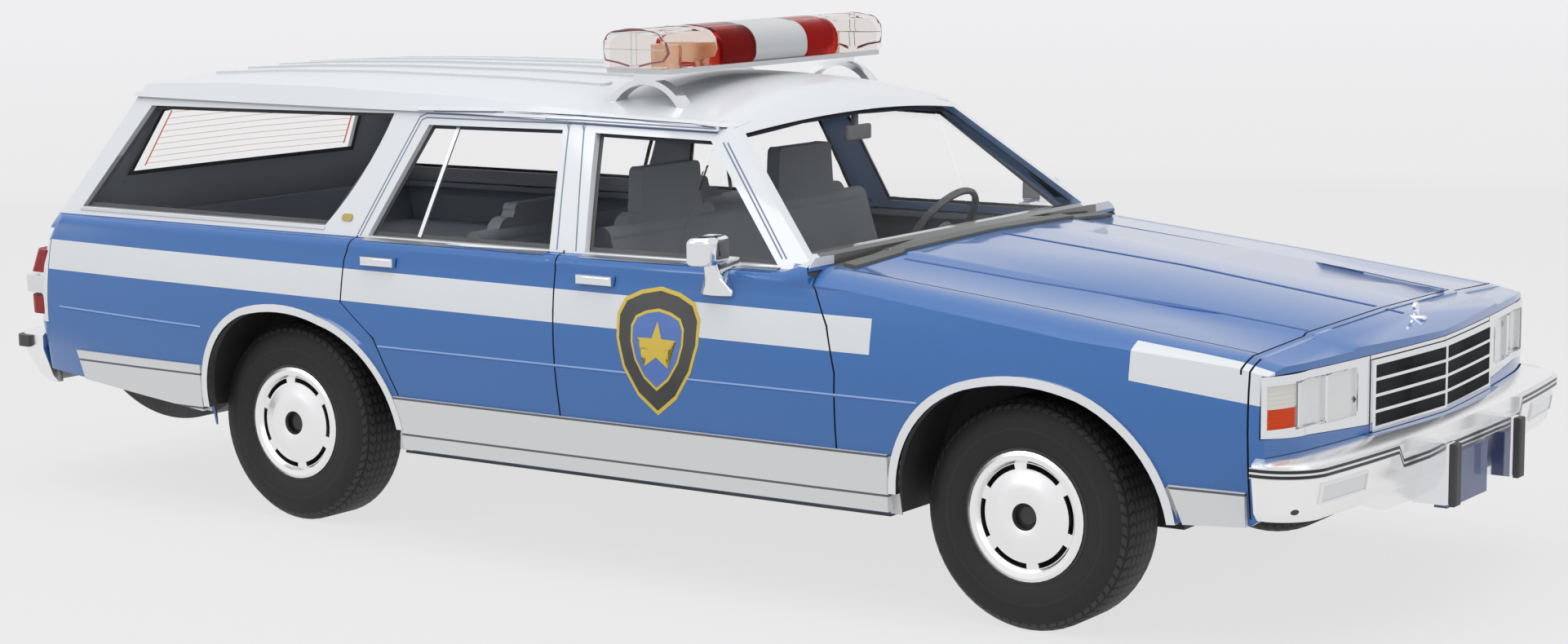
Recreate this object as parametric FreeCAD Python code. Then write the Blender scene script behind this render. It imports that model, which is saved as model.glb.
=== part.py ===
import FreeCAD, Part
import math
import os

# A 1:18 scale model of a late-1980s full-size station wagon in police livery.
# Millimetres. +X is the nose, +Y the left side, +Z up.
# Everything is drawn about the middle of the wheelbase and moved to the middle
# of its length on writing, so the origin is on the floor under the centre.

os.makedirs("parts", exist_ok=True)
V = FreeCAD.Vector

# ---------------------------------------------------------------- driving sizes
wheelbase = 163.7
tyre_radius = 19.3
tyre_width = 12.4
wheel_face_y = 50.6          # outer face of the tyre from the centre line
rim_radius = 11.4
cover_radius = 10.9
pin_radius = 1.5
running_gap = 0.05           # between the pin and the wheel's bore, on the radius
body_half = 56.0             # half width at the side crease
wall = 1.3                   # thickness of the body casting
sill_z = 17.8
crease_z = 37.6
belt_z = 57.2
front_bumper_x = 137.4
guard_x = 141.6
rear_bumper_x = -158.4
seat_gap = 0.1               # glued pieces against the casting
arch_moulding = 1.5
window_lap = 1.6             # glass behind the edge of its opening
glass_thick = 0.8

front_axle_x = wheelbase / 2
rear_axle_x = -wheelbase / 2
axle_z = tyre_radius
length_shift = -(guard_x + rear_bumper_x) / 2


# ---------------------------------------------------------------- shape helpers
def chain(start, steps, place):
    """Edges from start: (a, b) is a straight run, (via a, via b, a, b) an arc."""
    edges = []
    here = start
    for step in steps:
        end = step[-2:]
        if len(step) == 4:
            edges.append(Part.Arc(place(*here), place(*step[:2]), place(*end)).toShape())
        else:
            edges.append(Part.LineSegment(place(*here), place(*end)).toShape())
        here = end
    if (place(*here) - place(*start)).Length > 1e-6:
        edges.append(Part.LineSegment(place(*here), place(*start)).toShape())
    return Part.Wire(edges)


def side_prism(start, steps, y0, y1):
    """An outline in x and z, carried across the car from y0 to y1."""
    wire = chain(start, steps, lambda x, z: V(x, y0, z))
    return Part.Face(wire).extrude(V(0, y1 - y0, 0))


def plan_prism(start, steps, z0, z1):
    """An outline in x and y, carried up from z0 to z1."""
    wire = chain(start, steps, lambda x, y: V(x, y, z0))
    return Part.Face(wire).extrude(V(0, 0, z1 - z0))


def section_prism(start, steps, x0, x1):
    """An outline in y and z, carried along the car from x0 to x1."""
    wire = chain(start, steps, lambda y, z: V(x0, y, z))
    return Part.Face(wire).extrude(V(x1 - x0, 0, 0))


def both_ways(half):
    """Steps that follow a half outline from 0 back to 0, then its mirror image."""
    back = []
    for index in range(len(half) - 1, 0, -1):
        end = half[index - 1][-2:]
        if len(half[index]) == 4:
            back.append((half[index][0], -half[index][1], end[0], -end[1]))
        else:
            back.append((end[0], -end[1]))
    return list(half[1:]) + back


def box(x0, x1, y0, y1, z0, z1):
    return Part.makeBox(x1 - x0, y1 - y0, z1 - z0, V(x0, y0, z0))


def mirrored(shape):
    return shape.mirror(V(0, 0, 0), V(0, 1, 0))


def pair(shape):
    return Part.makeCompound([shape, mirrored(shape)])


def spun(start, steps, x, side):
    """A (radius, outboard y) outline turned about the axle line at x; side is +1 or -1."""
    wire = chain(start, steps, lambda r, y: V(x + r, side * y, axle_z))
    return Part.Face(wire).revolve(V(x, 0, axle_z), V(0, 1, 0), 360)


def fused(shapes):
    result = shapes[0]
    if len(shapes) > 1:
        result = result.fuse(shapes[1:])
    return result.removeSplitter()


def edges_where(shape, test):
    return [edge for edge in shape.Edges if test(edge.CenterOfMass, edge)]


parts = {}


# ---------------------------------------------------------------- body casting
# columns: x, half width at the crease, top of the shoulder
side_stations = (
    (-154.0, 54.0, 56.8),
    (-118.0, 55.4, 56.8),
    (-60.0, body_half, 56.8),
    (36.0, body_half, 57.0),
    (44.0, body_half, 60.4),
    (92.0, 55.4, 60.4),
    (136.0, 52.4, 60.4),
)

# columns: z, x of the tail, y where its corner starts to turn
tail_levels = (
    (-10.0, -148.4, 47.8),
    (24.0, -149.5, 48.2),
    (35.0, -151.2, 48.8),
    (44.0, -151.6, 48.8),
    (51.8, -149.6, 47.4),
    (57.4, -147.3, 45.8),
    (80.0, -136.0, 40.0),
)

# columns: x, centre z, z of the hood's crease, fender edge z at y 48.3
hood_stations = (
    (36.0, 60.0, 59.5, 58.2),
    (85.0, 55.3, 54.7, 53.2),
    (121.0, 50.6, 50.2, 49.1),
    (127.0, 49.6, 49.2, 47.8),
    (131.0, 48.4, 48.1, 47.0),
    (136.0, 46.4, 46.2, 45.4),
)
hood_join_x = 42.0
hood_crease_y = 29.4
hood_crease_step = 0.45      # the raised middle stands this far above the sides
nose_corner_x = 124.0
nose_x = 133.0
shoulder_start_z = 54.6


def lower_body(inset):
    wires = []
    for x, half, top in side_stations:
        drop = body_half - half + inset
        low = sill_z if inset == 0 else -5.0
        start_z = shoulder_start_z - inset
        end_y = 51.4 - 0.4 * (top - 56.8) - drop
        outline = (
            (low, 0.0),
            (low, 53.6 - drop),
            (27.5, 55.35 - drop, crease_z, body_half - drop),
            (46.5, 55.3 - drop, start_z, 53.5 + 0.3 * inset - drop),
            (start_z + 0.75 * (top - inset - start_z), 52.9 - drop, top - inset, end_y),
            (top - inset, 0.0),
        )
        wires.append(chain(outline[0], both_ways(outline), lambda z, y, at=x: V(at, y, z)))
    block = Part.makeLoft(wires, True, True)
    levels = []
    for z, tail_x, turn in tail_levels:
        tail = tail_x + inset
        outline = (
            (tail - 0.9, 0.0),
            (tail - 0.65, turn * 0.5, tail, turn),
            (tail + 1.1, turn + 3.2, tail + 4.2, turn + 5.4),
            (tail + 5.6, 58.0),
            (nose_corner_x - inset, 58.0),
            (126.6 - inset, 50.6 - inset, 128.4 - inset, 43.0 - inset),
            (131.1 - inset, 22.0, nose_x - inset, 0.0),
        )
        levels.append(chain(outline[0], both_ways(outline), lambda x, y, at=z: V(x, y, at)))
    ends = Part.makeLoft(levels, True, True)
    hood_wires = []
    for x, ridge, crease, edge in hood_stations:
        outline = (
            (-20.0, 0.0),
            (-20.0, 60.0),
            (edge - 12.0 - inset, 60.0),
            (edge - 2.2 - inset, 53.6, edge - inset, 48.3),
            (crease - hood_crease_step - inset, hood_crease_y + 0.9),
            (crease - inset, hood_crease_y),
            (ridge - inset, 0.0),
        )
        hood_wires.append(chain(outline[0], both_ways(outline), lambda z, y, at=x: V(at, y, z)))
    envelope = Part.makeLoft(hood_wires, True, True)
    above_hood = box(hood_join_x - inset, 150.0, -70.0, 70.0, 36.0, 75.0).cut(envelope)
    return block.common(ends).cut(above_hood)


# columns: z, front corner x, front corner y, front centre x, mid side y,
#          rear corner x, rear corner y, rear centre x
glasshouse_levels = (
    (54.0, 44.4, 51.4, 49.6, 52.4, -149.2, 51.4, -150.2),
    (92.0, -0.9, 30.0, 3.8, 37.0, -127.8, 34.6, -129.0),
)
corner_turn = 3.4            # size of the rounded rear corners


def glasshouse(inset):
    wires = []
    lean_x = 1.5 * inset
    lean_y = 1.1 * inset
    for z, fx, fy, fcx, my, rx, ry, rcx in glasshouse_levels:
        tail = rx + 1.2 * inset
        side = ry - lean_y
        outline = (
            (fcx - lean_x, 0.0),
            ((fcx * 2.9 + fx) / 3.9 - lean_x, fy * 0.5, fx - lean_x, fy - lean_y),
            ((fx + rx) / 2, my - lean_y, tail + corner_turn, side + 0.2),
            (tail + corner_turn * 0.24, side - corner_turn * 0.24, tail, side - corner_turn),
            ((rcx * 2.9 + rx) / 3.9 + 1.2 * inset, ry * 0.5, rcx + 1.2 * inset, 0.0),
        )
        wires.append(chain(outline[0], both_ways(outline), lambda x, y, at=z: V(x, y, at)))
    return Part.makeLoft(wires, True, True)


# columns: x, z at the middle of the roof, z out at y 40
roof_stations = (
    (-160.0, 82.6, 81.2),
    (-128.5, 84.9, 83.1),
    (-105.0, 86.2, 84.0),
    (-80.0, 86.8, 84.1),
    (-45.0, 86.9, 83.2),
    (-8.0, 86.5, 80.3),
    (4.0, 86.0, 79.6),
    (10.0, 85.2, 79.2),
    (14.0, 84.0, 78.7),
    (19.0, 81.8, 77.2),
    (50.0, 66.0, 62.0),
)
roof_edge_y = 40.0
roof_reach_y = 60.0


def roof_block(inset):
    """Everything under the roof's skin, which is crowned across and bowed along."""
    wires = []
    for x, middle, edge in roof_stations:
        top = middle - inset
        reach_z = top - (middle - edge) * (roof_reach_y / roof_edge_y) ** 2
        wires.append(chain(
            (-roof_reach_y, 20.0),
            ((-roof_reach_y, reach_z), (0.0, top, roof_reach_y, reach_z), (roof_reach_y, 20.0), (-roof_reach_y, 20.0)),
            lambda y, z, at=x: V(at, y, z)))
    return Part.makeLoft(wires, True, True)


def body_solid(inset):
    top = glasshouse(inset).common(roof_block(inset))
    return lower_body(inset).fuse(top).removeSplitter()


# arch openings: start, then arcs (via x, via z, x, z) over the wheel, x from the axle
rear_arch = ((-17.7, 22.0), ((-15.6, 33.5, -7.0, 40.7), (2.6, 42.0, 13.2, 40.4), (25.6, 33.6, 31.8, 22.0)))
front_arch = ((-21.5, 22.0), ((-18.6, 32.2, -8.0, 40.5), (2.6, 42.0, 12.6, 40.4), (22.4, 33.6, 27.8, 22.0)))


def arch_prism(arch, axle_x, grow, y0, y1, foot=-2.0):
    (x0, z0), arcs = arch
    centre_z = 24.0
    start = (axle_x + x0 - grow, foot)
    steps = [(axle_x + x0 - grow, z0)]
    for vx, vz, ex, ez in arcs:
        moved = []
        for px, pz in ((vx, vz), (ex, ez)):
            away = math.hypot(px - 5.0, pz - centre_z)
            moved += [axle_x + px + grow * (px - 5.0) / away, pz + grow * max(pz - centre_z, 0.0) / away]
        steps.append(tuple(moved))
    last = steps[-1]
    steps.append((last[0], foot))
    return side_prism(start, steps, y0, y1)


# side windows: start and corners in x, z
quarter_window = ((-139.4, 58.6), ((-127.4, 78.9), (-60.6, 79.7), (-63.2, 72.0, -71.4, 58.6)))
rear_window = ((-60.0, 57.3), ((-51.5, 77.9), (-20.5, 78.0), (-16.3, 57.3)))
front_window = ((-8.3, 57.3), ((-13.2, 77.7), (11.4, 77.1), (33.0, 57.5)))
side_windows = (quarter_window, rear_window, front_window)


def side_window_prism(window, grow):
    (x0, z0), corners = window
    points = [(x0, z0)] + list(corners)
    cx = sum(p[0] for p in points) / len(points)
    cz = sum(p[1] for p in points) / len(points)
    grown = []
    for step in points:
        moved = ()
        for px, pz in zip(step[::2], step[1::2]):
            moved += (px + grow * math.copysign(1.0, px - cx), pz + grow * math.copysign(1.0, pz - cz))
        grown.append(moved)
    return side_prism(grown[0], grown[1:], -70.0, 70.0)


# windscreen and tailgate openings as seen from the front and the rear: y, z
screen_opening = ((-46.9, 59.4), ((-35.0, 78.3), (0.0, 80.2, 35.0, 78.3), (46.9, 59.4), (0.0, 60.3, -46.9, 59.4)))
tailgate_opening = ((-33.6, 63.6), ((-30.6, 77.4), (0.0, 79.4, 30.6, 77.4), (33.6, 63.6)))


screen_rear_x = 12.0


def end_opening(opening, grow, x0, x1):
    start, steps = opening

    def grown(y, z):
        return (y + grow * math.copysign(1.0, y) if abs(y) > 1e-6 else 0.0,
                z + grow * math.copysign(1.0, z - 70.0))

    moved = []
    for step in steps:
        moved.append(sum((grown(*step[i:i + 2]) for i in range(0, len(step), 2)), ()))
    return section_prism(grown(*start), moved, x0, x1)


outer = body_solid(0.0)
inner = body_solid(wall)
shell = outer.cut(inner)

cuts = [arch_prism(rear_arch, rear_axle_x, 0.0, -70.0, 70.0),
        arch_prism(front_arch, front_axle_x, 0.0, -70.0, 70.0)]
cuts += [side_window_prism(window, 0.0) for window in side_windows]
cuts.append(end_opening(screen_opening, 0.0, screen_rear_x, 70.0))
cuts.append(end_opening(tailgate_opening, 0.0, -160.0, -115.0))
# the underside rises behind the rear wheels and ahead of the front ones
rear_underside = side_prism((-165.0, 5.0), ((-165.0, 26.9), (-100.0, 20.4), (-100.0, 5.0)), -70.0, 70.0)
front_underside = side_prism(
    (104.0, 5.0), ((104.0, 21.8), (123.4, 22.9), (129.0, 26.8), (145.0, 26.8), (145.0, 5.0)), -70.0, 70.0)
cuts += [rear_underside, front_underside]
# nose recess for the grille and lamps; its floor rises outward under the lamps
grille_low = 34.0
lamps_low = 35.3
lamps_low_outer = 37.2
nose_high = 46.6
nose_depth_x = 125.0
grille_half = 25.0


def nose_pocket(gap):
    """The recess across the nose, drawn gap smaller all round."""
    return section_prism(
        (-60.0, lamps_low_outer + gap),
        ((-grille_half, lamps_low + gap), (-grille_half, grille_low + gap), (grille_half, grille_low + gap),
         (grille_half, lamps_low + gap), (60.0, lamps_low_outer + gap), (60.0, nose_high - gap),
         (-60.0, nose_high - gap)), nose_depth_x, 140.0)


cuts.append(nose_pocket(0.0))
# pockets for the tail lamps, round each rear corner
tail_low = 34.8
tail_high = 51.6
tail_front_x = -146.0
tail_in_y = 44.0
for side in (-1, 1):
    y0, y1 = sorted((side * tail_in_y, side * 60.0))
    cuts.append(box(-160.0, tail_front_x, y0, y1, tail_low, tail_high))

# drip rails along the edges of the roof, over the side windows
rail_stand = 0.7
rail_band = side_prism((-134.0, 80.6), ((-134.0, 81.5), (-45.0, 81.2), (12.5, 79.7), (12.5, 78.8), (-45.0, 80.3)),
                       -70.0, 70.0)
rails = glasshouse(-rail_stand).cut(glasshouse(wall * 0.5)).common(rail_band)
rails = rails.cut([box(-170.0, 150.0, -30.0, 30.0, 0.0, 100.0)])

# raised ribs along the roof
rib_ys = (4.6, 13.8, 23.0)
rib_half = 1.5
rib_rise = 0.5
rib_rear_x = -131.0 + 6.0
rib_front_x = -25.0
rib_skin = roof_block(-rib_rise).cut(roof_block(wall * 0.5))
ribs = []
for rib_y in rib_ys:
    strip = plan_prism(
        (rib_rear_x, rib_y - rib_half),
        ((rib_front_x, rib_y - rib_half),
         (rib_front_x + rib_half, rib_y, rib_front_x, rib_y + rib_half),
         (rib_rear_x, rib_y + rib_half),
         (rib_rear_x - rib_half, rib_y, rib_rear_x, rib_y - rib_half)), 60.0, 100.0)
    rib = rib_skin.common(strip)
    ribs += [rib, mirrored(rib)]

# cut lines of the doors, the nose panel, the hood and the tailgate
line_width = 0.34
line_depth = 0.5
# side lines as x, z points from top to bottom
side_lines = (
    ((41.5, 58.0), (46.5, 48.5), (48.5, 41.0), (48.6, 17.0)),
    ((-13.0, 58.0), (-10.9, 30.0), (-10.5, 17.0)),
    ((-62.4, 58.0), (-63.6, 53.0), (-63.5, 45.0), (-55.0, 38.8), (-49.5, 28.4)),
    ((123.0, 52.0), (123.3, 24.0)),
)
line_tools = []
for points in side_lines:
    for (x0, z0), (x1, z1) in zip(points, points[1:]):
        half = line_width / 2
        line_tools.append(side_prism(
            (x0 - half, z0), ((x0 + half, z0), (x1 + half, z1), (x1 - half, z1)), -70.0, 70.0))
    for x0, z0 in points[1:-1]:
        line_tools.append(box(x0 - half, x0 + half, -70.0, 70.0, z0 - half, z0 + half))
nose_seam_x = 121.6
hood_rear_x = 46.4
hood_edge_y = 46.6
tail_line_y = 42.4
line_tools.append(box(nose_seam_x - half, nose_seam_x + half, -60.0, 60.0, 46.6, 60.0))
for side in (-1, 1):
    y0, y1 = sorted((side * hood_edge_y - half, side * hood_edge_y + half))
    line_tools.append(box(hood_rear_x, nose_seam_x, y0, y1, 40.0, 62.0))
    y0, y1 = sorted((side * tail_line_y - half, side * tail_line_y + half))
    line_tools.append(box(-160.0, -140.0, y0, y1, 33.0, 58.0))
line_tools.append(box(-160.0, -140.0, -tail_line_y, tail_line_y, 33.0, 33.0 + line_width))
line_skin = lower_body(-0.5).cut(lower_body(line_depth))
grooves = line_skin.common(line_tools[0].fuse(line_tools[1:]))
parts["body_shell"] = shell.cut(cuts).cut(grooves).fuse(rails.Solids + ribs)


# ---------------------------------------------------------------- glass
glass_gap = 0.05
pane_outer = body_solid(wall + glass_gap)
pane_inner = body_solid(wall + glass_gap + glass_thick)
pane = pane_outer.cut(pane_inner)
parts["windscreen"] = pane.common(end_opening(screen_opening, window_lap, screen_rear_x - 1.0, 70.0))
parts["tailgate_glass"] = pane.common(end_opening(tailgate_opening, window_lap, -160.0, -115.0))
end_panes = [end_opening(screen_opening, window_lap + 0.3, screen_rear_x - 1.3, 70.0),
             end_opening(tailgate_opening, window_lap + 0.3, -160.0, -115.0)]
side_panes = [pane.common(side_window_prism(window, window_lap)).cut(end_panes) for window in side_windows]
left_half = box(-170.0, 150.0, 20.0, 70.0, 0.0, 100.0)
right_half = box(-170.0, 150.0, -70.0, -20.0, 0.0, 100.0)
parts["side_glass_left"] = Part.makeCompound([p.common(left_half) for p in side_panes])
parts["side_glass_right"] = Part.makeCompound([p.common(right_half) for p in side_panes])


# ---------------------------------------------------------------- base plate
floor_z = 17.2
floor_thick = 1.6
well_in_y = 35.5
well_wall = 1.2
tunnel_half = 13.0
tunnel_roof = 27.4
axles = ((rear_arch, rear_axle_x), (front_arch, front_axle_x))
# the wells reach further behind the tyre than the arch openings do
rear_well = ((-22.0, 22.0), ((-19.0, 35.0, -8.0, 42.4), (2.6, 43.6, 14.4, 41.8), (27.2, 35.0, 33.0, 22.0)))
front_well = ((-24.0, 22.0), ((-20.6, 34.5, -9.0, 42.3), (2.6, 43.6, 14.0, 41.8), (25.0, 35.0, 30.0, 22.0)))

slab = box(-100.0, 112.0, -60.0, 60.0, floor_z, floor_z + floor_thick)
front_floor = side_prism(
    (102.0, floor_z),
    ((104.0, floor_z), (104.0, 20.8), (129.0, 22.2), (129.0, 23.8), (102.0, 22.4)), -60.0, 60.0)
rear_floor = side_prism(
    (-147.0, 23.4),
    ((-147.0, 25.4), (-97.0, 21.4), (-97.0, floor_z), (-100.0, floor_z), (-100.0, 19.6)), -60.0, 60.0)
raised = []
hollows = []
for well, axle_x in ((rear_well, rear_axle_x), (front_well, front_axle_x)):
    for side in (-1, 1):
        far = 70.0 * side
        y0, y1 = sorted((well_in_y * side, far))
        raised.append(arch_prism(well, axle_x, well_wall, y0, y1, floor_z))
        y0, y1 = sorted(((well_in_y + well_wall) * side, far))
        hollows.append(arch_prism(well, axle_x, 0.0, y0, y1))
    raised.append(box(axle_x - tunnel_half, axle_x + tunnel_half, -well_in_y - 0.6, well_in_y + 0.6,
                      floor_z, tunnel_roof + well_wall))
    hollows.append(box(axle_x - tunnel_half + well_wall, axle_x + tunnel_half - well_wall,
                       -well_in_y - 3.0, well_in_y + 3.0, -5.0, tunnel_roof))
base = slab.fuse([rear_floor, front_floor] + raised).cut(hollows)
base = base.common(lower_body(wall + seat_gap)).cut([rear_underside, front_underside])
parts["base_plate"] = base.removeSplitter()


# ---------------------------------------------------------------- axles and under-floor pieces
hub_inner_y = 38.0
pin_end_y = 48.9


def stub(side):
    y0 = (well_in_y - 0.5) * side
    return Part.makeCylinder(pin_radius, pin_end_y - well_in_y + 0.5, V(0, y0, axle_z), V(0, side, 0))


def brake(side, radius):
    return Part.makeCylinder(radius, 2.0, V(0, (hub_inner_y - 0.8) * side, axle_z), V(0, -side, 0))


axle_tube = Part.makeCylinder(2.4, 2 * well_in_y, V(0, -well_in_y, axle_z), V(0, 1, 0))
differential = box(-4.4, 4.4, -4.4, 4.4, axle_z - 4.4, axle_z + 4.4)
differential = differential.makeChamfer(1.8, differential.Edges)
nose_piece = Part.makeCylinder(2.2, 5.0, V(4.0, 0, axle_z), V(1, 0, 0))
spring_seats = [box(-2.0, 2.0, side * 22.0 - 2.0, side * 22.0 + 2.0, axle_z, tunnel_roof) for side in (-1, 1)]
rear_pieces = [axle_tube, differential, nose_piece] + spring_seats
rear_pieces += [stub(side) for side in (-1, 1)] + [brake(side, 6.0) for side in (-1, 1)]
rear_axle = fused(rear_pieces)
rear_axle.translate(V(rear_axle_x, 0, 0))
parts["rear_axle"] = rear_axle

cross_member = box(-4.5, 4.5, -20.0, 20.0, 15.2, 19.0)
front_pieces = [cross_member]
for side in (-1, 1):
    arm = chain((5.0, side * 18.0), ((2.0, side * 36.0), (-2.0, side * 36.0), (-5.0, side * 18.0)),
                lambda x, y: V(x, y, 15.2))
    front_pieces.append(Part.Face(arm).extrude(V(0, 0, 1.8)))
    y0, y1 = sorted((side * 34.4, side * (hub_inner_y - 0.8)))
    front_pieces.append(box(-2.4, 2.4, y0, y1, 15.2, 26.0))
    front_pieces.append(Part.makeCylinder(3.0, tunnel_roof - 16.0, V(0, side * 28.0, 16.0), V(0, 0, 1)))
    front_pieces.append(stub(side))
    front_pieces.append(brake(side, 6.6))
front_axle = fused(front_pieces)
front_axle.translate(V(front_axle_x, 0, 0))
parts["front_axle"] = front_axle

exhaust_y = -19.0
pipe_z = floor_z - 1.4
muffler = box(-38.0, -10.0, exhaust_y - 6.0, exhaust_y + 6.0, floor_z - 4.4, floor_z)
muffler = muffler.makeFillet(1.8, edges_where(muffler, lambda c, e: abs(c.y - exhaust_y) > 5.9 and e.Length > 20))
front_pipe = Part.makeCylinder(1.4, 70.0, V(-11.0, exhaust_y, pipe_z), V(1, 0, 0))
tail_pipe = Part.makeCylinder(1.4, 28.0, V(-37.0, exhaust_y, pipe_z), V(-1, 0, 0))
parts["exhaust"] = fused([muffler, front_pipe, tail_pipe])

tank_half = 40.0
tank = side_prism((-143.6, 24.0), ((-143.6, 21.4), (-128.4, 14.9, -110.0, 19.0), (-110.0, 21.0)), -tank_half, tank_half)
parts["fuel_tank"] = tank.cut(rear_floor)


# ---------------------------------------------------------------- wheels
# columns: name, axle x, side
corners = (
    ("front_left", front_axle_x, 1),
    ("front_right", front_axle_x, -1),
    ("rear_left", rear_axle_x, 1),
    ("rear_right", rear_axle_x, -1),
)
tyre_inner_y = wheel_face_y - tyre_width
bead_out = wheel_face_y - 0.9
bead_in = tyre_inner_y + 0.9
tread_half = tyre_width / 2 - 2.2
tread_mid = wheel_face_y - tyre_width / 2
bore = pin_radius + running_gap
tyre_flats = 56
wheel_flats = 48
disc_y = 44.4                # inner face of the wheel's disc
disc_thick = 1.6
boss_radius = 3.2
boss_end_y = 48.4


def faceted(profile, flats):
    """A (radius, y) outline turned about the Y axis through the origin in flat facets."""
    faces = []
    for index in range(flats):
        a0 = 2 * math.pi * index / flats
        a1 = 2 * math.pi * (index + 1) / flats
        for (r0, y0), (r1, y1) in zip(profile, profile[1:] + profile[:1]):
            corners_3d = [V(r * math.cos(a), y, r * math.sin(a))
                          for r, y, a in ((r0, y0, a0), (r1, y1, a0), (r1, y1, a1), (r0, y0, a1))]
            faces.append(Part.Face(Part.makePolygon(corners_3d + corners_3d[:1])))
    skin = Part.Shell(faces)
    skin.sewShape()
    return Part.Solid(skin)


bead_radius = rim_radius / math.cos(math.pi / tyre_flats)
tyre = faceted([
    (bead_radius, bead_out),
    (tyre_radius - 6.4, wheel_face_y - 0.1),
    (tyre_radius - 3.6, wheel_face_y),
    (tyre_radius - 1.2, wheel_face_y - 0.7),
    (tyre_radius, tread_mid + tread_half),
    (tyre_radius, tread_mid - tread_half),
    (tyre_radius - 1.2, tyre_inner_y + 0.7),
    (tyre_radius - 3.8, tyre_inner_y),
    (bead_radius, bead_in),
], tyre_flats)
barrel = faceted([
    (rim_radius - 1.1, disc_y),
    (rim_radius - 1.1, bead_in),
    (rim_radius, bead_in),
    (rim_radius, bead_out),
    (rim_radius - 0.45, bead_out),
    (rim_radius - 0.45, disc_y + disc_thick + 1.0),
    (rim_radius - 1.1, disc_y + disc_thick),
], wheel_flats)
disc = faceted([
    (boss_radius - 0.6, disc_y),
    (rim_radius - 1.1, disc_y),
    (rim_radius - 1.1, disc_y + disc_thick),
    (boss_radius - 0.6, disc_y + disc_thick),
], wheel_flats)
boss = Part.makeCylinder(boss_radius, boss_end_y - hub_inner_y, V(0, hub_inner_y, 0), V(0, 1, 0))
boss = boss.cut(Part.makeCylinder(bore, 20.0, V(0, hub_inner_y - 5.0, 0), V(0, 1, 0)))
wheel = boss.fuse([disc.cut(Part.makeCylinder(boss_radius, 20.0, V(0, hub_inner_y, 0), V(0, 1, 0))), barrel])

cover_hole = 2.3
slot_count = 6
slot_in = 7.9
slot_out = 8.8
slot_share = 0.74            # part of each pitch that is open
cover = faceted([
    (cover_hole, 49.1),
    (cover_hole, 50.2),
    (3.6, 50.6),
    (5.8, 50.3),
    (7.5, 49.5),
    (8.9, 49.4),
    (9.4, 50.1),
    (10.3, 50.3),
    (cover_radius, 50.0),
    (cover_radius, 49.3),
    (9.0, 48.5),
    (4.0, 48.9),
], wheel_flats)
slots = []
for index in range(slot_count):
    turn = 360.0 * index / slot_count
    reach = 360.0 * slot_share / slot_count
    ring = Part.makeCylinder(slot_out, 5.0, V(0, 47.0, 0), V(0, 1, 0), reach)
    ring = ring.cut(Part.makeCylinder(slot_in, 7.0, V(0, 46.0, 0), V(0, 1, 0)))
    ring.rotate(V(0, 0, 0), V(0, 1, 0), turn)
    slots.append(ring)
cover = cover.cut(slots)


def at_corner(shape, x, side):
    placed = shape.copy()
    placed.translate(V(x, 0, axle_z))
    return placed if side > 0 else mirrored(placed)


for corner, x, side in corners:
    parts["tyre_" + corner] = at_corner(tyre, x, side)
    parts["wheel_" + corner] = at_corner(wheel, x, side)
    parts["wheel_cover_" + corner] = at_corner(cover, x, side)


# ---------------------------------------------------------------- interior
tub_wall = 1.0
tub_floor_z = 22.0
cargo_floor_z = 45.2
tub_rim_z = 56.0
tub_step_x = -46.0
tub_front_x = 53.0
tub_rear_x = -141.5
tub_profile = ((tub_rear_x, tub_rim_z), (
    (tub_rear_x, cargo_floor_z), (tub_step_x, cargo_floor_z), (tub_step_x, tub_floor_z),
    (tub_front_x, tub_floor_z), (tub_front_x, tub_rim_z)))
tub_space = side_prism(
    (tub_rear_x + tub_wall, 70.0),
    ((tub_rear_x + tub_wall, cargo_floor_z + tub_wall), (tub_step_x + tub_wall, cargo_floor_z + tub_wall),
     (tub_step_x + tub_wall, tub_floor_z + tub_wall), (tub_front_x - tub_wall, tub_floor_z + tub_wall),
     (tub_front_x - tub_wall, 70.0)), -60.0, 60.0)
tub_outer = side_prism(tub_profile[0], tub_profile[1], -60.0, 60.0)
tub_outer = tub_outer.common(lower_body(wall + seat_gap + 0.2))
tub_inner = tub_space.common(lower_body(wall + seat_gap + 0.2 + tub_wall)).fuse(
    box(tub_rear_x + tub_wall, tub_front_x - tub_wall, -48.0, 48.0, tub_rim_z - 4.0, 80.0))
parts["interior_tub"] = tub_outer.cut(tub_inner)

dash = side_prism(
    (tub_front_x - tub_wall, 47.5),
    ((30.0, 46.0), (27.6, 49.5, 28.6, 53.5), (32.0, 55.6), (tub_front_x - tub_wall, 56.0)), -47.0, 47.0)
dash = dash.common(body_solid(wall + 0.3))
parts["dashboard"] = dash
seat_y = 22.0
bench_half = 42.0
cushion_z = tub_floor_z + tub_wall


def bench(back_x, seat_z, top_z, depth, rest_z):
    """A bench: cushion and raked backrest, with two wide headrests that rise from its shoulders."""
    cushion = side_prism(
        (back_x, cushion_z),
        ((back_x + depth, cushion_z), (back_x + depth + 1.5, seat_z - 4.0),
         (back_x + depth + 1.0, seat_z, back_x + depth - 3.0, seat_z + 0.4), (back_x + 4.0, seat_z - 1.0),
         (back_x - 3.0, top_z - 1.5), (back_x - 4.0, top_z + 0.4, back_x - 6.6, top_z),
         (back_x - 7.4, top_z - 2.0), (back_x - 3.5, cushion_z)), -bench_half, bench_half)
    rests = []
    for y in (-seat_y, seat_y):
        rests.append(section_prism(
            (y - 14.0, top_z - 1.2),
            ((y - 13.0, top_z + 1.6, y - 9.6, top_z + 2.4), (y - 9.0, rest_z - 1.4), (y - 8.6, rest_z - 0.3, y - 7.2, rest_z),
             (y + 7.2, rest_z), (y + 8.6, rest_z - 0.3, y + 9.0, rest_z - 1.4), (y + 9.6, top_z + 2.4),
             (y + 13.0, top_z + 1.6, y + 14.0, top_z - 1.2)), back_x - 7.2, back_x - 4.2))
    return fused([cushion] + rests)


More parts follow.
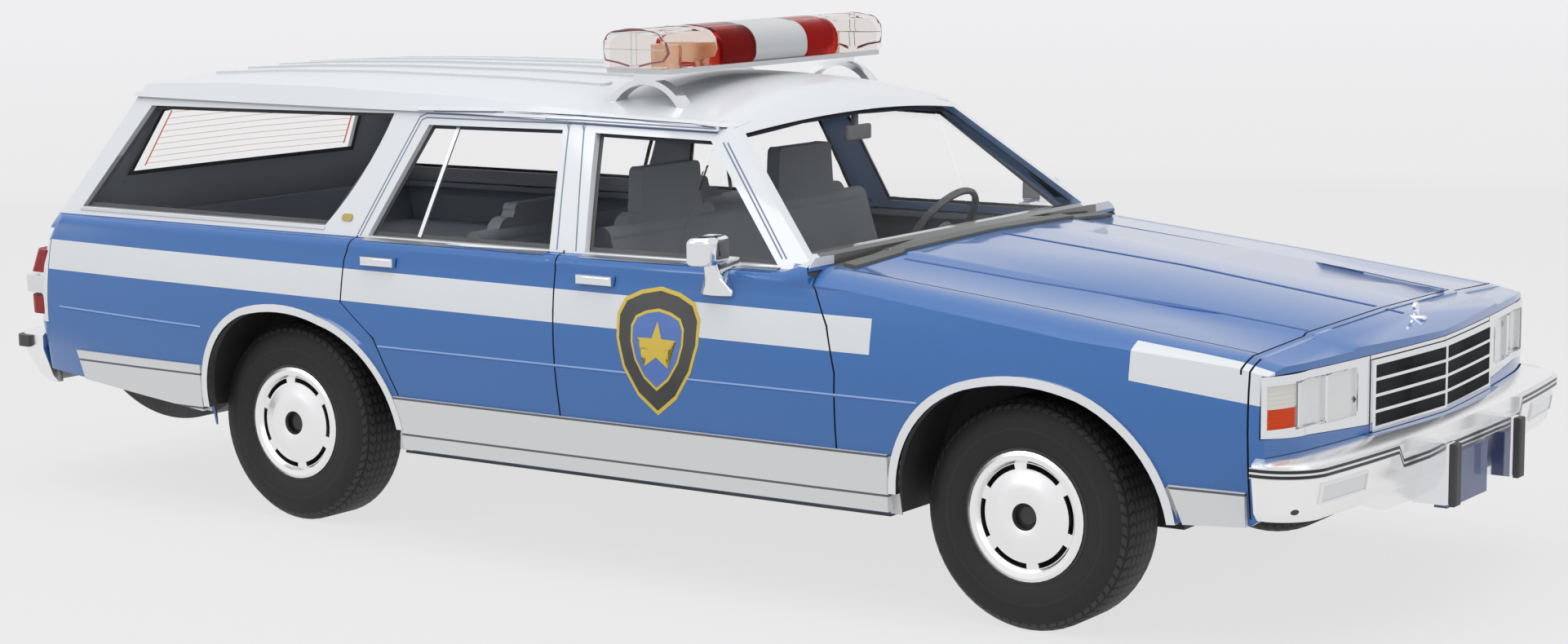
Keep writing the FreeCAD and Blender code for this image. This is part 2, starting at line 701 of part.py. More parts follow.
parts["front_seat"] = bench(-6.0, 37.5, 60.0, 24.0, 70.6)
parts["rear_seat"] = bench(tub_step_x + 9.5, 38.0, 57.5, 17.0, 62.4)

wheel_centre = V(21.5, 21.0, 55.5)
column_axis = V(-0.82, 0.0, 0.57)
grip_radius = 9.6
grip_half = 0.65
grip = faceted([
    (grip_radius + grip_half, 0.0),
    (grip_radius + grip_half / 2, grip_half),
    (grip_radius - grip_half / 2, grip_half),
    (grip_radius - grip_half, 0.0),
    (grip_radius - grip_half / 2, -grip_half),
    (grip_radius + grip_half / 2, -grip_half),
], 32)
grip.Placement = FreeCAD.Placement(wheel_centre, FreeCAD.Rotation(V(0, 1, 0), column_axis))
hub = Part.makeCylinder(2.4, 1.6, wheel_centre - column_axis * 1.8, column_axis)
column = Part.makeCylinder(1.1, 11.0, wheel_centre - column_axis * 12.0, column_axis)
spokes = []
for side in (-1, 1):
    spokes.append(Part.makeCylinder(0.6, 9.5, wheel_centre - column_axis * 0.6, V(0, side, 0)))
parts["steering_wheel"] = fused([grip, hub, column] + spokes).cut(dash)


# ---------------------------------------------------------------- bumpers
bumper_thick = 1.4
front_half = 55.6
rear_half = 54.0
# half outlines in x, y: square end, rounded corner, then the bowed face
front_bumper_plan = (
    (124.6, 0.0),
    (124.6, front_half),
    (126.6, front_half),
    (131.2, front_half - 1.8, 134.5, 47.6),
    (136.7, 25.0, front_bumper_x, 0.0),
)
rear_bumper_plan = (
    (-149.4, 0.0),
    (-149.4, rear_half),
    (-154.0, rear_half),
    (-156.8, rear_half - 0.9, -157.5, rear_half - 3.6),
    (-158.2, 25.0, rear_bumper_x, 0.0),
)
# columns: z, how far the section stands back there from the plan
front_bumper_levels = ((24.0, 3.0), (25.4, 1.7), (30.9, 0.8), (33.2, 0.8), (33.95, 2.2))
rear_bumper_levels = ((21.4, 4.6), (23.0, 3.2), (28.8, 0.9), (31.6, 0.9), (32.6, 2.4))


def stood_back(plan, inset, z):
    """The plan drawn smaller about the middle of its square end."""
    x0 = plan[0][0]
    share_x = 1.0 - inset / abs(plan[-1][-2] - x0)
    share_y = 1.0 - inset / plan[1][1]
    scaled = []
    for point in plan:
        pairs = [(x0 + (point[i] - x0) * share_x, point[i + 1] * share_y) for i in range(0, len(point), 2)]
        scaled.append(sum(pairs, ()))
    return chain(scaled[0], both_ways(scaled), lambda x, y: V(x, y, z))


def bumper(plan, levels):
    """The full block, and the hollow bar made from it."""
    block = Part.makeLoft([stood_back(plan, inset, z) for z, inset in levels], True, True)
    low = levels[0][0]
    high = levels[-1][0]
    deepest = max(inset for z, inset in levels) + bumper_thick
    core = Part.Face(stood_back(plan, deepest, low - 1.0)).extrude(V(0, 0, high - low + 1.0 - bumper_thick))
    return block, block.cut(core)


def rubber_band(plan, block, low, high):
    band = Part.Face(stood_back(plan, 0.0, low)).extrude(V(0, 0, high - low))
    return band.cut(block)


clear_of_body = lower_body(-2 * seat_gap)
front_block, front_bar = bumper(front_bumper_plan, front_bumper_levels)
rear_block, rear_bar = bumper(rear_bumper_plan, rear_bumper_levels)
parts["front_bumper"] = front_bar.cut(clear_of_body)
parts["rear_bumper"] = rear_bar.cut(clear_of_body)

# the front strip drops between and just outside the guards
strip_low = 31.2
strip_high = 32.9
strip_drop = 2.4
drop_half = 25.5
middle = box(100.0, 160.0, -drop_half, drop_half, 0.0, 60.0)
strip = rubber_band(front_bumper_plan, front_block, strip_low, strip_high).cut(middle)
lower_strip = rubber_band(front_bumper_plan, front_block, strip_low - strip_drop, strip_high - strip_drop)
joins = [rubber_band(front_bumper_plan, front_block, strip_low - strip_drop, strip_high).common(
    box(100.0, 160.0, side * drop_half - 0.8, side * drop_half + 0.8, 0.0, 60.0)) for side in (-1, 1)]
front_strip = fused([strip, lower_strip.common(middle)] + joins).cut(clear_of_body)
rear_pad_end_x = -152.8
rear_strip = rubber_band(rear_bumper_plan, rear_block, 29.1, 31.4).common(
    box(-170.0, rear_pad_end_x, -70.0, 70.0, 0.0, 60.0))
parts["front_bumper_strip"] = front_strip
parts["rear_bumper_strip"] = rear_strip

guard_y = 13.9
guard_half = 1.5
pad_half = 1.2
pad_thick = 1.2
guard_rear_x = 134.2
guard_low = 21.4
guard_high = 31.6
guard = box(guard_rear_x, guard_x - pad_thick, guard_y - guard_half, guard_y + guard_half, guard_low, guard_high)
guard = guard.makeFillet(0.5, edges_where(guard, lambda c, e: c.x > guard_x - pad_thick - 0.1))
parts["bumper_guards"] = pair(guard.cut([front_block, front_strip]))
pad = box(guard_x - pad_thick, guard_x, guard_y - pad_half, guard_y + pad_half, guard_low - 0.2, guard_high - 0.1)
pad = pad.makeFillet(0.4, edges_where(pad, lambda c, e: c.x > guard_x - 0.1))
parts["guard_pads"] = pair(pad)
plate_half = 8.5
front_plate = box(front_bumper_x - 2.2, front_bumper_x + 0.1, -plate_half, plate_half, 19.4, 28.2)
parts["front_plate"] = front_plate.cut([front_block, front_block.translated(V(-1.4, 0, -3.0))])
parts["rear_plate"] = box(-153.0, -151.0, -plate_half, plate_half, 36.0, 44.8).cut(
    lower_body(0.0)).common(lower_body(-0.8))


# ---------------------------------------------------------------- grille and lamps
def nose_band(inset):
    outline = (
        (120.0, 0.0),
        (120.0, 53.8),
        (124.6 - inset, 53.6),
        (126.9 - inset, 50.4 - inset, 128.4 - inset, 43.0 - inset),
        (131.1 - inset, 22.0, nose_x - inset, 0.0),
    )
    return plan_prism(outline[0], both_ways(outline), 30.0, 50.0)


recess = nose_pocket(seat_gap)
lamp_band = nose_band(0.0).common(recess)
grille_face = 0.5            # the frame stands this far out of the nose
frame_half = grille_half - 0.1
frame_low = grille_low + seat_gap
frame_high = nose_high - 0.8
header_zone = box(nose_depth_x + 0.2, 140.0, -frame_half, frame_half, frame_high + 0.1, 60.0)
grille = nose_band(-grille_face).common(
    box(nose_depth_x + 1.0, 140.0, -frame_half, frame_half, frame_low, frame_high))
rows = 4
frame_edge = 0.9
bar_thick = 0.5
row_pitch = (frame_high - frame_low - 2 * frame_edge + bar_thick) / rows
openings = []
for row in range(rows):
    z0 = frame_low + frame_edge + row * row_pitch
    for side in (-1, 1):
        y0, y1 = sorted((side * 0.45, side * (frame_half - frame_edge)))
        openings.append(box(nose_depth_x + 2.4, 140.0, y0, y1, z0, z0 + row_pitch - bar_thick))
parts["grille"] = grille.cut(openings)

lamp_in = grille_half + 0.15
housing = lamp_band.common(box(nose_depth_x + 0.2, 140.0, lamp_in, 60.0, 0.0, 100.0))
housing = housing.fuse(lamp_band.common(header_zone).common(box(100.0, 160.0, 0.05, lamp_in + 0.1, 0.0, 100.0)))
# columns: y inner, y outer, z low, z high, x of the pocket's back
head_lamp_cuts = (
    (29.0, 37.4, 37.4, 45.2, 127.6),
    (38.2, 45.8, 37.8, 45.2, 126.4),
)
lens_cuts = [box(x, 140.0, y0, y1, z0, z1) for y0, y1, z0, z1, x in head_lamp_cuts]
corner_cut = box(nose_depth_x + 0.8, 140.0, 46.8, 60.0, 38.2, 45.0)
parts["headlamp_bezels"] = pair(housing.cut(lens_cuts + [corner_cut]).removeSplitter())
lens_band = nose_band(0.5)
parts["headlamps"] = pair(Part.makeCompound([lens_band.common(cut) for cut in lens_cuts]))
parts["corner_lamps"] = pair(nose_band(0.2).common(corner_cut))

tail_zone = box(-156.0, tail_front_x - seat_gap, tail_in_y + seat_gap, 60.0, tail_low + seat_gap, tail_high - seat_gap)
tail_body = lower_body(0.0).common(tail_zone).cut(body_solid(wall + 1.4))
# columns: z low, z high, how far the lens stands out behind
tail_rows = ((36.4, 40.0, 2.6), (40.7, 44.2, 4.2), (44.9, 49.4, 2.6))
tail_cuts = [box(-158.0, -147.4, tail_in_y + 1.4, 60.0, low, high) for low, high, stand in tail_rows]
parts["tail_lamp_bezels"] = pair(tail_body.cut([cut.cut(lower_body(1.0)) for cut in tail_cuts]))
tail_pieces = []
lens_body = lower_body(0.15)
for (low, high, stand), cut in zip(tail_rows, tail_cuts):
    reach = lens_body.fuse(lens_body.translated(V(-stand, 0, 0)))
    tail_pieces.append(reach.cut(lower_body(1.0)).common(cut))
parts["tail_lamps_red"] = pair(Part.makeCompound([tail_pieces[0], tail_pieces[2]]))
parts["reverse_lamps"] = pair(tail_pieces[1])


# ---------------------------------------------------------------- side trim, handles and mirrors
trim_stand = 0.7
trim_skin = lower_body(-trim_stand).cut(lower_body(0.0))
arch_rings = []
for arch, axle_x in axles:
    ring = arch_prism(arch, axle_x, arch_moulding, -70.0, 70.0, 21.6).cut(arch_prism(arch, axle_x, 0.0, -70.0, 70.0))
    arch_rings.append(ring.common(lower_body(-trim_stand)).cut(lower_body(0.0)))
ring_parts = [solid for ring in arch_rings for solid in ring.Solids]
parts["arch_mouldings"] = Part.makeCompound(ring_parts)

# columns: x at the bottom rear, x at the bottom front, z bottom rear, z bottom front, x top rear, x top front, z top
trim_panels = (
    (-48.4, 59.0, 18.4, 18.4, -50.6, 58.8, 28.2),
    (-135.5, -101.4, 24.0, 20.6, -137.5, -101.4, 29.8),
    (112.4, 122.8, 22.2, 22.8, 110.0, 122.8, 28.3),
)
trim_shapes = []
for x0, x1, z0, z1, x2, x3, top_z in trim_panels:
    panel = side_prism((x0, z0), ((x1, z1), (x3, top_z), (x2, top_z)), -70.0, 70.0).common(trim_skin)
    panel = panel.cut([arch_prism(arch, axle_x, arch_moulding + seat_gap, -70.0, 70.0) for arch, axle_x in axles])
    trim_shapes += panel.Solids
parts["lower_trim"] = Part.makeCompound([solid for solid in trim_shapes if solid.Volume > 1])

handle_z = 53.1
handles = []
for x0 in (-58.5, -7.0):
    bar = box(x0, x0 + 8.0, 52.0, 55.4, handle_z - 0.85, handle_z + 0.85)
    bar = bar.makeFillet(0.5, edges_where(bar, lambda c, e: c.y > 55.3))
    handles.append(bar.cut(clear_of_body))
parts["door_handles"] = pair(Part.makeCompound(handles))

mirror_x = 23.6
# columns: z, half length, how far out the flared foot reaches
foot_levels = ((52.4, 3.3, 55.9), (53.3, 3.1, 56.0), (55.6, 1.7, 56.9), (58.4, 1.2, 57.6))
foot_wires = []
for z, half_x, out_y in foot_levels:
    foot_wires.append(chain(
        (mirror_x - half_x, 49.0),
        ((mirror_x - half_x, out_y - 1.2), (mirror_x, out_y, mirror_x + half_x, out_y - 1.2), (mirror_x + half_x, 49.0),
         (mirror_x - half_x, 49.0)), lambda x, y, at=z: V(x, y, at)))
mirror_foot = Part.makeLoft(foot_wires, True, True)
head_low = 57.8
head_high = 62.8
head_outline = plan_prism(
    (mirror_x - 2.6, 53.4),
    ((mirror_x - 1.2, 61.4), (mirror_x + 1.8, 60.6, mirror_x + 2.4, 57.0), (mirror_x + 1.6, 53.0)),
    head_low, head_high)
mirror_head = head_outline.makeFillet(
    1.1, edges_where(head_outline, lambda c, e: abs(c.z - head_high) < 0.1 or abs(c.z - head_low) < 0.1))
mirror_foot = mirror_foot.cut(body_solid(-0.05))
mirror = fused([mirror_foot, mirror_head])
parts["mirror_left"] = mirror
parts["mirror_right"] = mirrored(mirror)


# ---------------------------------------------------------------- cowl, wipers and ornament
# a low panel along the foot of the windscreen
cowl_rise = 0.5
cowl_half = 45.0
parts["cowl"] = lower_body(-cowl_rise).cut(body_solid(-0.03)).common(
    box(43.4, 46.0, -cowl_half, cowl_half, 50.0, 62.0))


# ---------------------------------------------------------------- light bar
bar_x = -8.0
bar_half = 35.6
bar_low = 88.2
bar_high = 96.4
bar_depth = 15.6
bar_end_turn = 1.6           # the end caps are flat, with this much turned at their sides
plate_top = bar_low + 0.9
foot_y = 31.3
foot_half = 1.4
# the bowed feet: half span and apex of the outer and the inner curve
bow_span = 8.7
bow_apex = 87.1
bow_thick = 1.0
roof_at_foot = 82.2
feet = []
for side in (-1, 1):
    y = side * foot_y
    outer_bow = side_prism(
        (bar_x - bow_span, roof_at_foot - 1.5),
        ((bar_x - bow_span, roof_at_foot), (bar_x - bow_span * 0.62, bow_apex - 1.5, bar_x, bow_apex),
         (bar_x + bow_span * 0.62, bow_apex - 1.5, bar_x + bow_span, roof_at_foot),
         (bar_x + bow_span, roof_at_foot - 1.5)), y - foot_half, y + foot_half)
    span = bow_span - 1.5 * bow_thick
    apex = bow_apex - bow_thick
    inner_bow = side_prism(
        (bar_x - span, roof_at_foot - 2.0),
        ((bar_x - span, roof_at_foot), (bar_x - span * 0.62, apex - 1.3, bar_x, apex),
         (bar_x + span * 0.62, apex - 1.3, bar_x + span, roof_at_foot),
         (bar_x + span, roof_at_foot - 2.0)), y - 3.0, y + 3.0)
    neck = box(bar_x - 2.4, bar_x + 2.4, y - foot_half, y + foot_half, bow_apex - bow_thick, bar_low)
    feet.append(outer_bow.cut(inner_bow).fuse(neck).cut(body_solid(0.0)))
parts["light_bar_feet"] = Part.makeCompound([solid for foot in feet for solid in foot.Solids])


def bar_section(inset, y0, y1):
    """The dome's section: flat below, round at front and rear and nearly flat on top."""
    half = bar_depth / 2 - inset
    low = plate_top + (0.0 if inset == 0 else -1.0)
    top = bar_high - inset
    return side_prism(
        (bar_x - half + 1.0, low),
        ((bar_x - half + 0.2, low + 0.9, bar_x - half, low + 2.2),
         (bar_x - half + 1.2, top - 1.6, bar_x - half + 4.2, top - 0.4),
         (bar_x, top, bar_x + half - 4.2, top - 0.4), (bar_x + half - 1.2, top - 1.6, bar_x + half, low + 2.2),
         (bar_x + half - 0.2, low + 0.9, bar_x + half - 1.0, low)), y0, y1)


plate_half_x = bar_depth / 2 - 0.5
plate_half_y = bar_half - 0.5
bar_plate = box(bar_x - plate_half_x, bar_x + plate_half_x, -plate_half_y, plate_half_y, bar_low, plate_top)
parts["light_bar_base"] = bar_plate.makeFillet(1.2, edges_where(bar_plate, lambda c, e: bar_low < c.z < plate_top))
speaker_half = 8.4
red_end = 19.0
dome_wall = 0.8


def dome_plan(inset):
    half_x = bar_depth / 2 - inset
    half_y = bar_half - inset
    turn = bar_end_turn
    return plan_prism(
        (bar_x - half_x, half_y - turn),
        ((bar_x - half_x + turn * 0.3, half_y - turn * 0.3, bar_x - half_x + turn, half_y),
         (bar_x + half_x - turn, half_y),
         (bar_x + half_x - turn * 0.3, half_y - turn * 0.3, bar_x + half_x, half_y - turn),
         (bar_x + half_x, -half_y + turn),
         (bar_x + half_x - turn * 0.3, -half_y + turn * 0.3, bar_x + half_x - turn, -half_y),
         (bar_x - half_x + turn, -half_y),
         (bar_x - half_x + turn * 0.3, -half_y + turn * 0.3, bar_x - half_x, -half_y + turn)), 80.0, 100.0)


dome = bar_section(0.0, -bar_half, bar_half).common(dome_plan(0.0)).cut(
    bar_section(dome_wall, -bar_half, bar_half).common(dome_plan(dome_wall)))
parts["light_bar_speaker"] = bar_section(0.0, -speaker_half, speaker_half)
parts["light_bar_red_domes"] = pair(dome.common(box(-40, 30, speaker_half + 0.1, red_end, 80, 100)))
parts["light_bar_clear_domes"] = pair(dome.common(box(-40, 30, red_end + 0.1, 50, 80, 100)))
rotators = []
for y in (13.5, 26.0):
    drum = Part.makeCylinder(2.8, 4.0, V(bar_x, y, plate_top), V(0, 0, 1))
    rotators.append(drum)
parts["light_bar_lamps"] = pair(Part.makeCompound(rotators))

for name, shape in parts.items():
    shape.translate(V(length_shift, 0, 0))
    shape.exportStep("parts/" + name + ".step")
    print(name, shape.isValid(), len(shape.Solids), round(shape.Volume, 1), shape.BoundBox)
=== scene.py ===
import bpy
import bmesh
import math
from mathutils import Matrix, Vector
from mathutils.bvhtree import BVHTree


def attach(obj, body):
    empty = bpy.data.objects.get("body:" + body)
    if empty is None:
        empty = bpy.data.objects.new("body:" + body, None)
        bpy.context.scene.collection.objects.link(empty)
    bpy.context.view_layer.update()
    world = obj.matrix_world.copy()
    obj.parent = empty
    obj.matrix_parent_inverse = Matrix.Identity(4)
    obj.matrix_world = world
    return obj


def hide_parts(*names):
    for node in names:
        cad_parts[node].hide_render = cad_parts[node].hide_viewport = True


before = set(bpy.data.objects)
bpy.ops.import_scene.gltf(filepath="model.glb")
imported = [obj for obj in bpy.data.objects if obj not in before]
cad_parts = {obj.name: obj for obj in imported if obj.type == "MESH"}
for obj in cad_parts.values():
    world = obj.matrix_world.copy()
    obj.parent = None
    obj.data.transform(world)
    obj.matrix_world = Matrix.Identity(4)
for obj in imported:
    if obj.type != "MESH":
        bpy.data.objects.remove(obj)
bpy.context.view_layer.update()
print("frame loaded")

mm = 0.001
corners = ("front_left", "front_right", "rear_left", "rear_right")
# columns: name, view that looks at it, sign of y
bothSides = (("Left", "left", 1), ("Right", "right", -1))


# colours and nodes
def toLinear(hexColour):
    values = []
    for start in (0, 2, 4):
        part = int(hexColour[start:start + 2], 16) / 255
        values.append(part / 12.92 if part <= 0.04045 else ((part + 0.055) / 1.055) ** 2.4)
    return (*values, 1.0)


def setInput(tree, socket, value):
    # a value is a number, a hex colour, a socket, or a node whose first shown output is taken
    if isinstance(value, bpy.types.Node):
        value = next(output for output in value.outputs if output.enabled)
    if isinstance(value, bpy.types.NodeSocket):
        tree.links.new(value, socket)
    else:
        socket.default_value = toLinear(value) if isinstance(value, str) else value


def addNode(tree, kind, settings=None, *inputs):
    # settings: the node's properties and named inputs, or only its operation
    # inputs: what goes into its shown inputs, in order
    node = tree.nodes.new("ShaderNode" + kind)
    if isinstance(settings, str):
        settings = {"operation": settings}
    for name, value in (settings or {}).items():
        if hasattr(node, name):
            setattr(node, name, value)
        else:
            setInput(tree, node.inputs[name], value)
    shown = [socket for socket in node.inputs if socket.enabled]
    for socket, value in zip(shown, inputs):
        setInput(tree, socket, value)
    return node


def newMaterial(name, settings):
    material = bpy.data.materials.new(name)
    material.use_nodes = True
    tree = material.node_tree
    shader = tree.nodes["Principled BSDF"]
    for key, value in settings.items():
        setInput(tree, shader.inputs[key], value)
    return material, tree, shader


def placeInMm(tree):
    # x, y and z of the point in the object's frame, in millimetres, and the whole vector
    coords = addNode(tree, "TexCoord")
    scaled = addNode(tree, "VectorMath", "SCALE", coords.outputs["Object"], 1 / mm)
    split = addNode(tree, "SeparateXYZ", {}, scaled)
    return split.outputs[0], split.outputs[1], split.outputs[2], scaled


def inBoxes(tree, axes, boxes):
    # 1 inside any of the boxes; a box is a low and a high number for each of the axes
    inAny = 0.0
    for box in boxes:
        inThis = 1.0
        for axis, (low, high) in zip(axes, box):
            middle, reach = (low + high) / 2, (high - low) / 2
            between = addNode(tree, "Math", "COMPARE", axis, middle, reach)
            inThis = addNode(tree, "Math", "MULTIPLY", inThis, between)
        inAny = addNode(tree, "Math", "MAXIMUM", inAny, inThis)
    return inAny


def addGrain(tree, shader, place, perMm, depth):
    # noise pressed into the surface: grains to the millimetre, and their depth in mm
    grain = addNode(tree, "TexNoise", {"Scale": perMm, "Detail": 2.0, "Vector": place})
    raised = addNode(tree, "Bump", {"Distance": depth * mm, "Strength": 1.0, "Height": grain})
    setInput(tree, shader.inputs["Normal"], raised)


# materials
# the livery in mm: a patch is a list of boxes, each a low and a high for x, for the distance from the
# middle and for z; past the object's own reach the numbers are only large enough
liveryValues = {
    "blue": "05599F",
    "white": "CDD0D4",
    "scuttleGrey": "50524F",
    "trimGrey": "BFC0C2",
    "roof": (((-200, 44.6), (0, 60), (57.0, 200)), ((-200, 51.0), (44.0, 60), (58.0, 200))),
    # the stripe's last pair counts from its top edge
    "stripe": (((-137.5, 63.6), (49.0, 60), (-5.95, 0)), ((111.4, 200), (50.9, 60), (-5.95, 0))),
    "stripeTop": 50.95,      # where the stripe's top edge crosses x = 0
    "stripeSlope": -0.006,
    "noseFrom": 111.4,       # from here on the stripe falls faster
    "noseSlope": -0.1,
    "scuttle": (((44.7, 54.5), (0, 45.8), (57.3, 200)),),
    # the lower trim's colour runs on to the wheel arches
    "trimFeet": (((-97.5, -92.0), (0, 60), (-1, 27.9)), ((-50.0, -39.5), (0, 60), (-1, 27.9)),
                 ((66.5, 72.0), (0, 60), (-1, 27.9)), ((112.0, 119.4), (0, 60), (-1, 27.9))),
}


def makeLivery():
    # sprayed enamel under clear lacquer: deep gloss, white above the belt, blue with a white stripe below
    material, tree, shader = newMaterial("enamelLivery", {
        "Roughness": 0.28, "Coat Weight": 1.0, "Coat Roughness": 0.05})
    v = liveryValues
    x, y, z, place = placeInMm(tree)
    farOut = addNode(tree, "Math", "ABSOLUTE", y)
    pastNose = addNode(tree, "Math", "SUBTRACT", x, v["noseFrom"])
    onNose = addNode(tree, "Math", "MAXIMUM", pastNose, 0.0)
    level = addNode(tree, "Math", "MULTIPLY_ADD", x, v["stripeSlope"], v["stripeTop"])
    top = addNode(tree, "Math", "MULTIPLY_ADD", onNose, v["noseSlope"], level)
    fromTop = addNode(tree, "Math", "SUBTRACT", z, top)
    roof = inBoxes(tree, (x, farOut, z), v["roof"])
    stripe = inBoxes(tree, (x, farOut, fromTop), v["stripe"])
    white = addNode(tree, "Math", "MAXIMUM", roof, stripe)
    scuttle = inBoxes(tree, (x, farOut, z), v["scuttle"])
    trimFeet = inBoxes(tree, (x, farOut, z), v["trimFeet"])
    colour = v["blue"]
    for patch, above in ((white, v["white"]), (scuttle, v["scuttleGrey"]), (trimFeet, v["trimGrey"])):
        colour = addNode(tree, "Mix", {"data_type": "RGBA"}, patch, colour, above)
    setInput(tree, shader.inputs["Base Color"], colour)
    addGrain(tree, shader, place, 1.2, 0.004)
    return material


# columns: colour, roughness
platingValues = {
    "brightPlating": ("E8E9EB", 0.09),   # vacuum-plated plastic: mirrors the studio sharply
    "softPlating": ("F4F4F4", 0.27),     # the same with a thicker lacquer: bright, but with blurred edges
}


def makePlating(name, colour, roughness):
    # vacuum plating, very slightly uneven, so that its reflections waver
    material, tree, shader = newMaterial(name, {
        "Metallic": 1.0, "Roughness": roughness, "Base Color": colour})
    addGrain(tree, shader, placeInMm(tree)[3], 0.35, 0.02)
    return material


# columns: colour, roughness, grains to the mm, their depth in mm, and where it is not the usual one the
# metallic, the coat and the drift of the shade
finishValues = {
    "blackRubber": ("1B1B1C", 0.55, 2.0, 0.02),                    # moulded rubber: matt, nearly black
    "gasketRubber": ("26282B", 0.5, 2.0, 0.01),                    # extruded rubber: a soft dark edge
    "silverGreyPaint": ("B9BBBE", 0.38, 2.5, 0.006, 0.0, 0.3),     # silver enamel: a grey half gloss
    "whiteRoofEnamel": (liveryValues["white"], 0.42, 1.2, 0.004, 0.0, 0.25, 0.0),   # enamel: calm white
    "whiteTrim": ("CDD0D4", 0.35, 2.0, 0.005, 0.0, 0.5),           # painted rail: the roof's own white
    "chassisPlastic": ("141415", 0.6, 1.6, 0.02),                  # moulded ABS: black, loses its shape
    "hubAndArchShade": ("0C0C0C", 0.7, 2.0, 0.01),                        # painted shade: near black, so that the hub's hole and the arches' returned edges read as depth
    "blackenedSteel": ("2A2A2C", 0.45, 2.0, 0.02, 0.6),            # blackened steel: dark, dull shine
    "interiorPlastic": ("6A727C", 0.6, 2.5, 0.02),                 # moulded ABS: dull blue grey
    "dashPlastic": ("525457", 0.65, 2.5, 0.02),                    # moulded ABS: dull dark grey
    "wheelPlastic": ("3A3C3F", 0.6, 2.5, 0.02),                    # moulded ABS: darker than the dash
    "seatPlastic": ("676B70", 0.7, 2.0, 0.03),                     # moulded ABS: grained, no shine
    "cargoPlastic": ("9DA1A8", 0.6, 2.5, 0.02),                    # painted inside: grey in the shade
    "liningPlastic": ("8AA9D6", 0.55, 2.5, 0.02),                  # painted inside: navy in the shade
    "cowlPlastic": ("50524F", 0.6, 2.0, 0.01),                     # moulded ABS: a grey band
    "speakerGrey": ("B4B6B8", 0.45, 1.6, 0.02),                    # moulded ABS: even light grey
    "reflectorWhite": ("F0E9E6", 0.5, 2.0, 0.01),                  # moulded ABS: pale behind the lens
    "seamShade": ("161C2A", 0.7, 2.0, 0.01),                       # cut in the casting: all shade
    "hairlineAndRailShadow": ("5D6B85", 0.5, 2.0, 0.005),                 # a thin blue-grey line along the frames and pillars, and the painted shadow under the drip rail
    "bonnetShade": ("245093", 0.7, 2.0, 0.005),                    # shaded side of a crease in the blue
    "creaseLight": ("7FA3D6", 0.5, 2.0, 0.005),                    # lit side of a crease in the blue
    "satinPlating": ("C9CBCE", 0.3, 2.0, 0.005, 0.9),              # satin plating: shine without a mirror
    "copperPlating": ("E2B898", 0.25, 2.0, 0.01, 0.85),            # copper plating: a warm glow
    "flutedLampSilver": ("D4D6D6", 0.22, 0.9, 0.03, 0.55, 0.8),    # silvered glass: broken highlights
    "lensRimShade": ("8A8D90", 0.35, 2.0, 0.005, 0.5),                 # half-metallic grey: painted shade round each lens where it meets the bezel
    "goldEnamel": ("C4A922", 0.45, 2.0, 0.005, 0.0, 0.2),          # printed gold: flat, with no sparkle
    "plaqueGilt": ("A08E3C", 0.4, 2.0, 0.01),                      # gilt print: olive against the white
    "blackEnamel": ("0F1012", 0.5, 2.0, 0.005, 0.0, 0.1),          # printed black
    "shieldBlue": ("2A5CA8", 0.32, 2.0, 0.005, 0.0, 0.6),          # printed blue, near the body's own
    "heaterInkAndGlow": ("F2A07E", 0.5, 2.0, 0.005),                      # printed ink: thin orange wires, with a painted glow
    "domeRim": ("7E3A3E", 0.4, 2.0, 0.005),                        # a dark red line round the end of the lens
    "grilleShade": ("0C0D0F", 0.6, 2.0, 0.01),                     # matt black: the dark behind the bars and on the screw heads, and the painted shade in the slot by the lamps
    "redLens": ("84060A", 0.5, 0.8, 0.02, 0.0, 0.0, 0.0),          # tinted acrylic: deep, even red
    "plateBlue": ("23386E", 0.35, 2.0, 0.01, 0.0, 0.5),            # enamel: a dark blue plate
}
heaterPaintedGlow = {"colour": "F2946C", "strength": 0.4}   # painted light: the printed wires glow as if lit from behind by daylight


def makeFinish(name, colour, roughness, perMm, depth, metallic=0.0, coat=0.0, drift=0.06):
    # a moulded or painted finish with a fine grain, and a shade that drifts a little across the piece
    material, tree, shader = newMaterial(name, {
        "Roughness": roughness, "Metallic": metallic, "Coat Weight": coat})
    place = placeInMm(tree)[3]
    cloud = addNode(tree, "TexNoise", {"Scale": 0.08, "Detail": 2.0, "Vector": place})
    share = addNode(tree, "Math", "MULTIPLY", cloud, drift)
    shade = addNode(tree, "Mix", {"data_type": "RGBA"}, share, colour, "FFFFFF")
    setInput(tree, shader.inputs["Base Color"], shade)
    addGrain(tree, shader, place, perMm, depth)
    return material


# columns: colour, roughness, IOR; the walls are thin, so the IOR is kept low and bends little
clearValues = {
    "clearPane": ("FFFFFF", 0.01, 1.08),   # moulded clear styrene: all but unseen
    "clearDome": ("F5F2F0", 0.02, 1.03),   # the same, a little warm
    "redDome": ("C83A36", 0.08, 1.12),     # tinted styrene: deep red where the wall is thick
}


def makeClear(name, colour, roughness, ior):
    # clear moulded plastic with a slow wave in its wall
    material, tree, shader = newMaterial(name, {
        "Base Color": colour, "Roughness": roughness, "IOR": ior, "Transmission Weight": 1.0})
    addGrain(tree, shader, placeInMm(tree)[3], 0.05, 0.02)
    return material


tyreValues = {
    "wall": "0D0D0D",
    "ring": "181818",
    "tread": "2E2E2E",
    # painted shade: the grooves between the tread blocks are drawn pure black
    "groove": "000000",
    "roughness": 0.68,
    "middleX": 8.4,        # mm, halfway between the axles
    "axleX": 81.85,        # mm, from there to each axle
    "axleZ": 19.3,
    "grooveStep": 1.5,     # mm across the tread
    "blocks": 64,          # round the tread, drawn coarser than the real ones so that they show
    "skew": 1.2,           # how far the slots swing from side to side
    "treadAt": (((17.9, 30),),),     # radii in mm
    "ringAt": (((14.38, 14.82),),),
    # cut away: the wave across, the wave around, the radius
    "cuts": (((0.72, 2), (-2, 2), (17.9, 30)), ((-2, 2), (0.6, 2), (17.9, 30))),
    "ringRise": 0.6,       # share of the relief
    "grainRise": 0.2,
    "relief": 0.35,        # mm
}


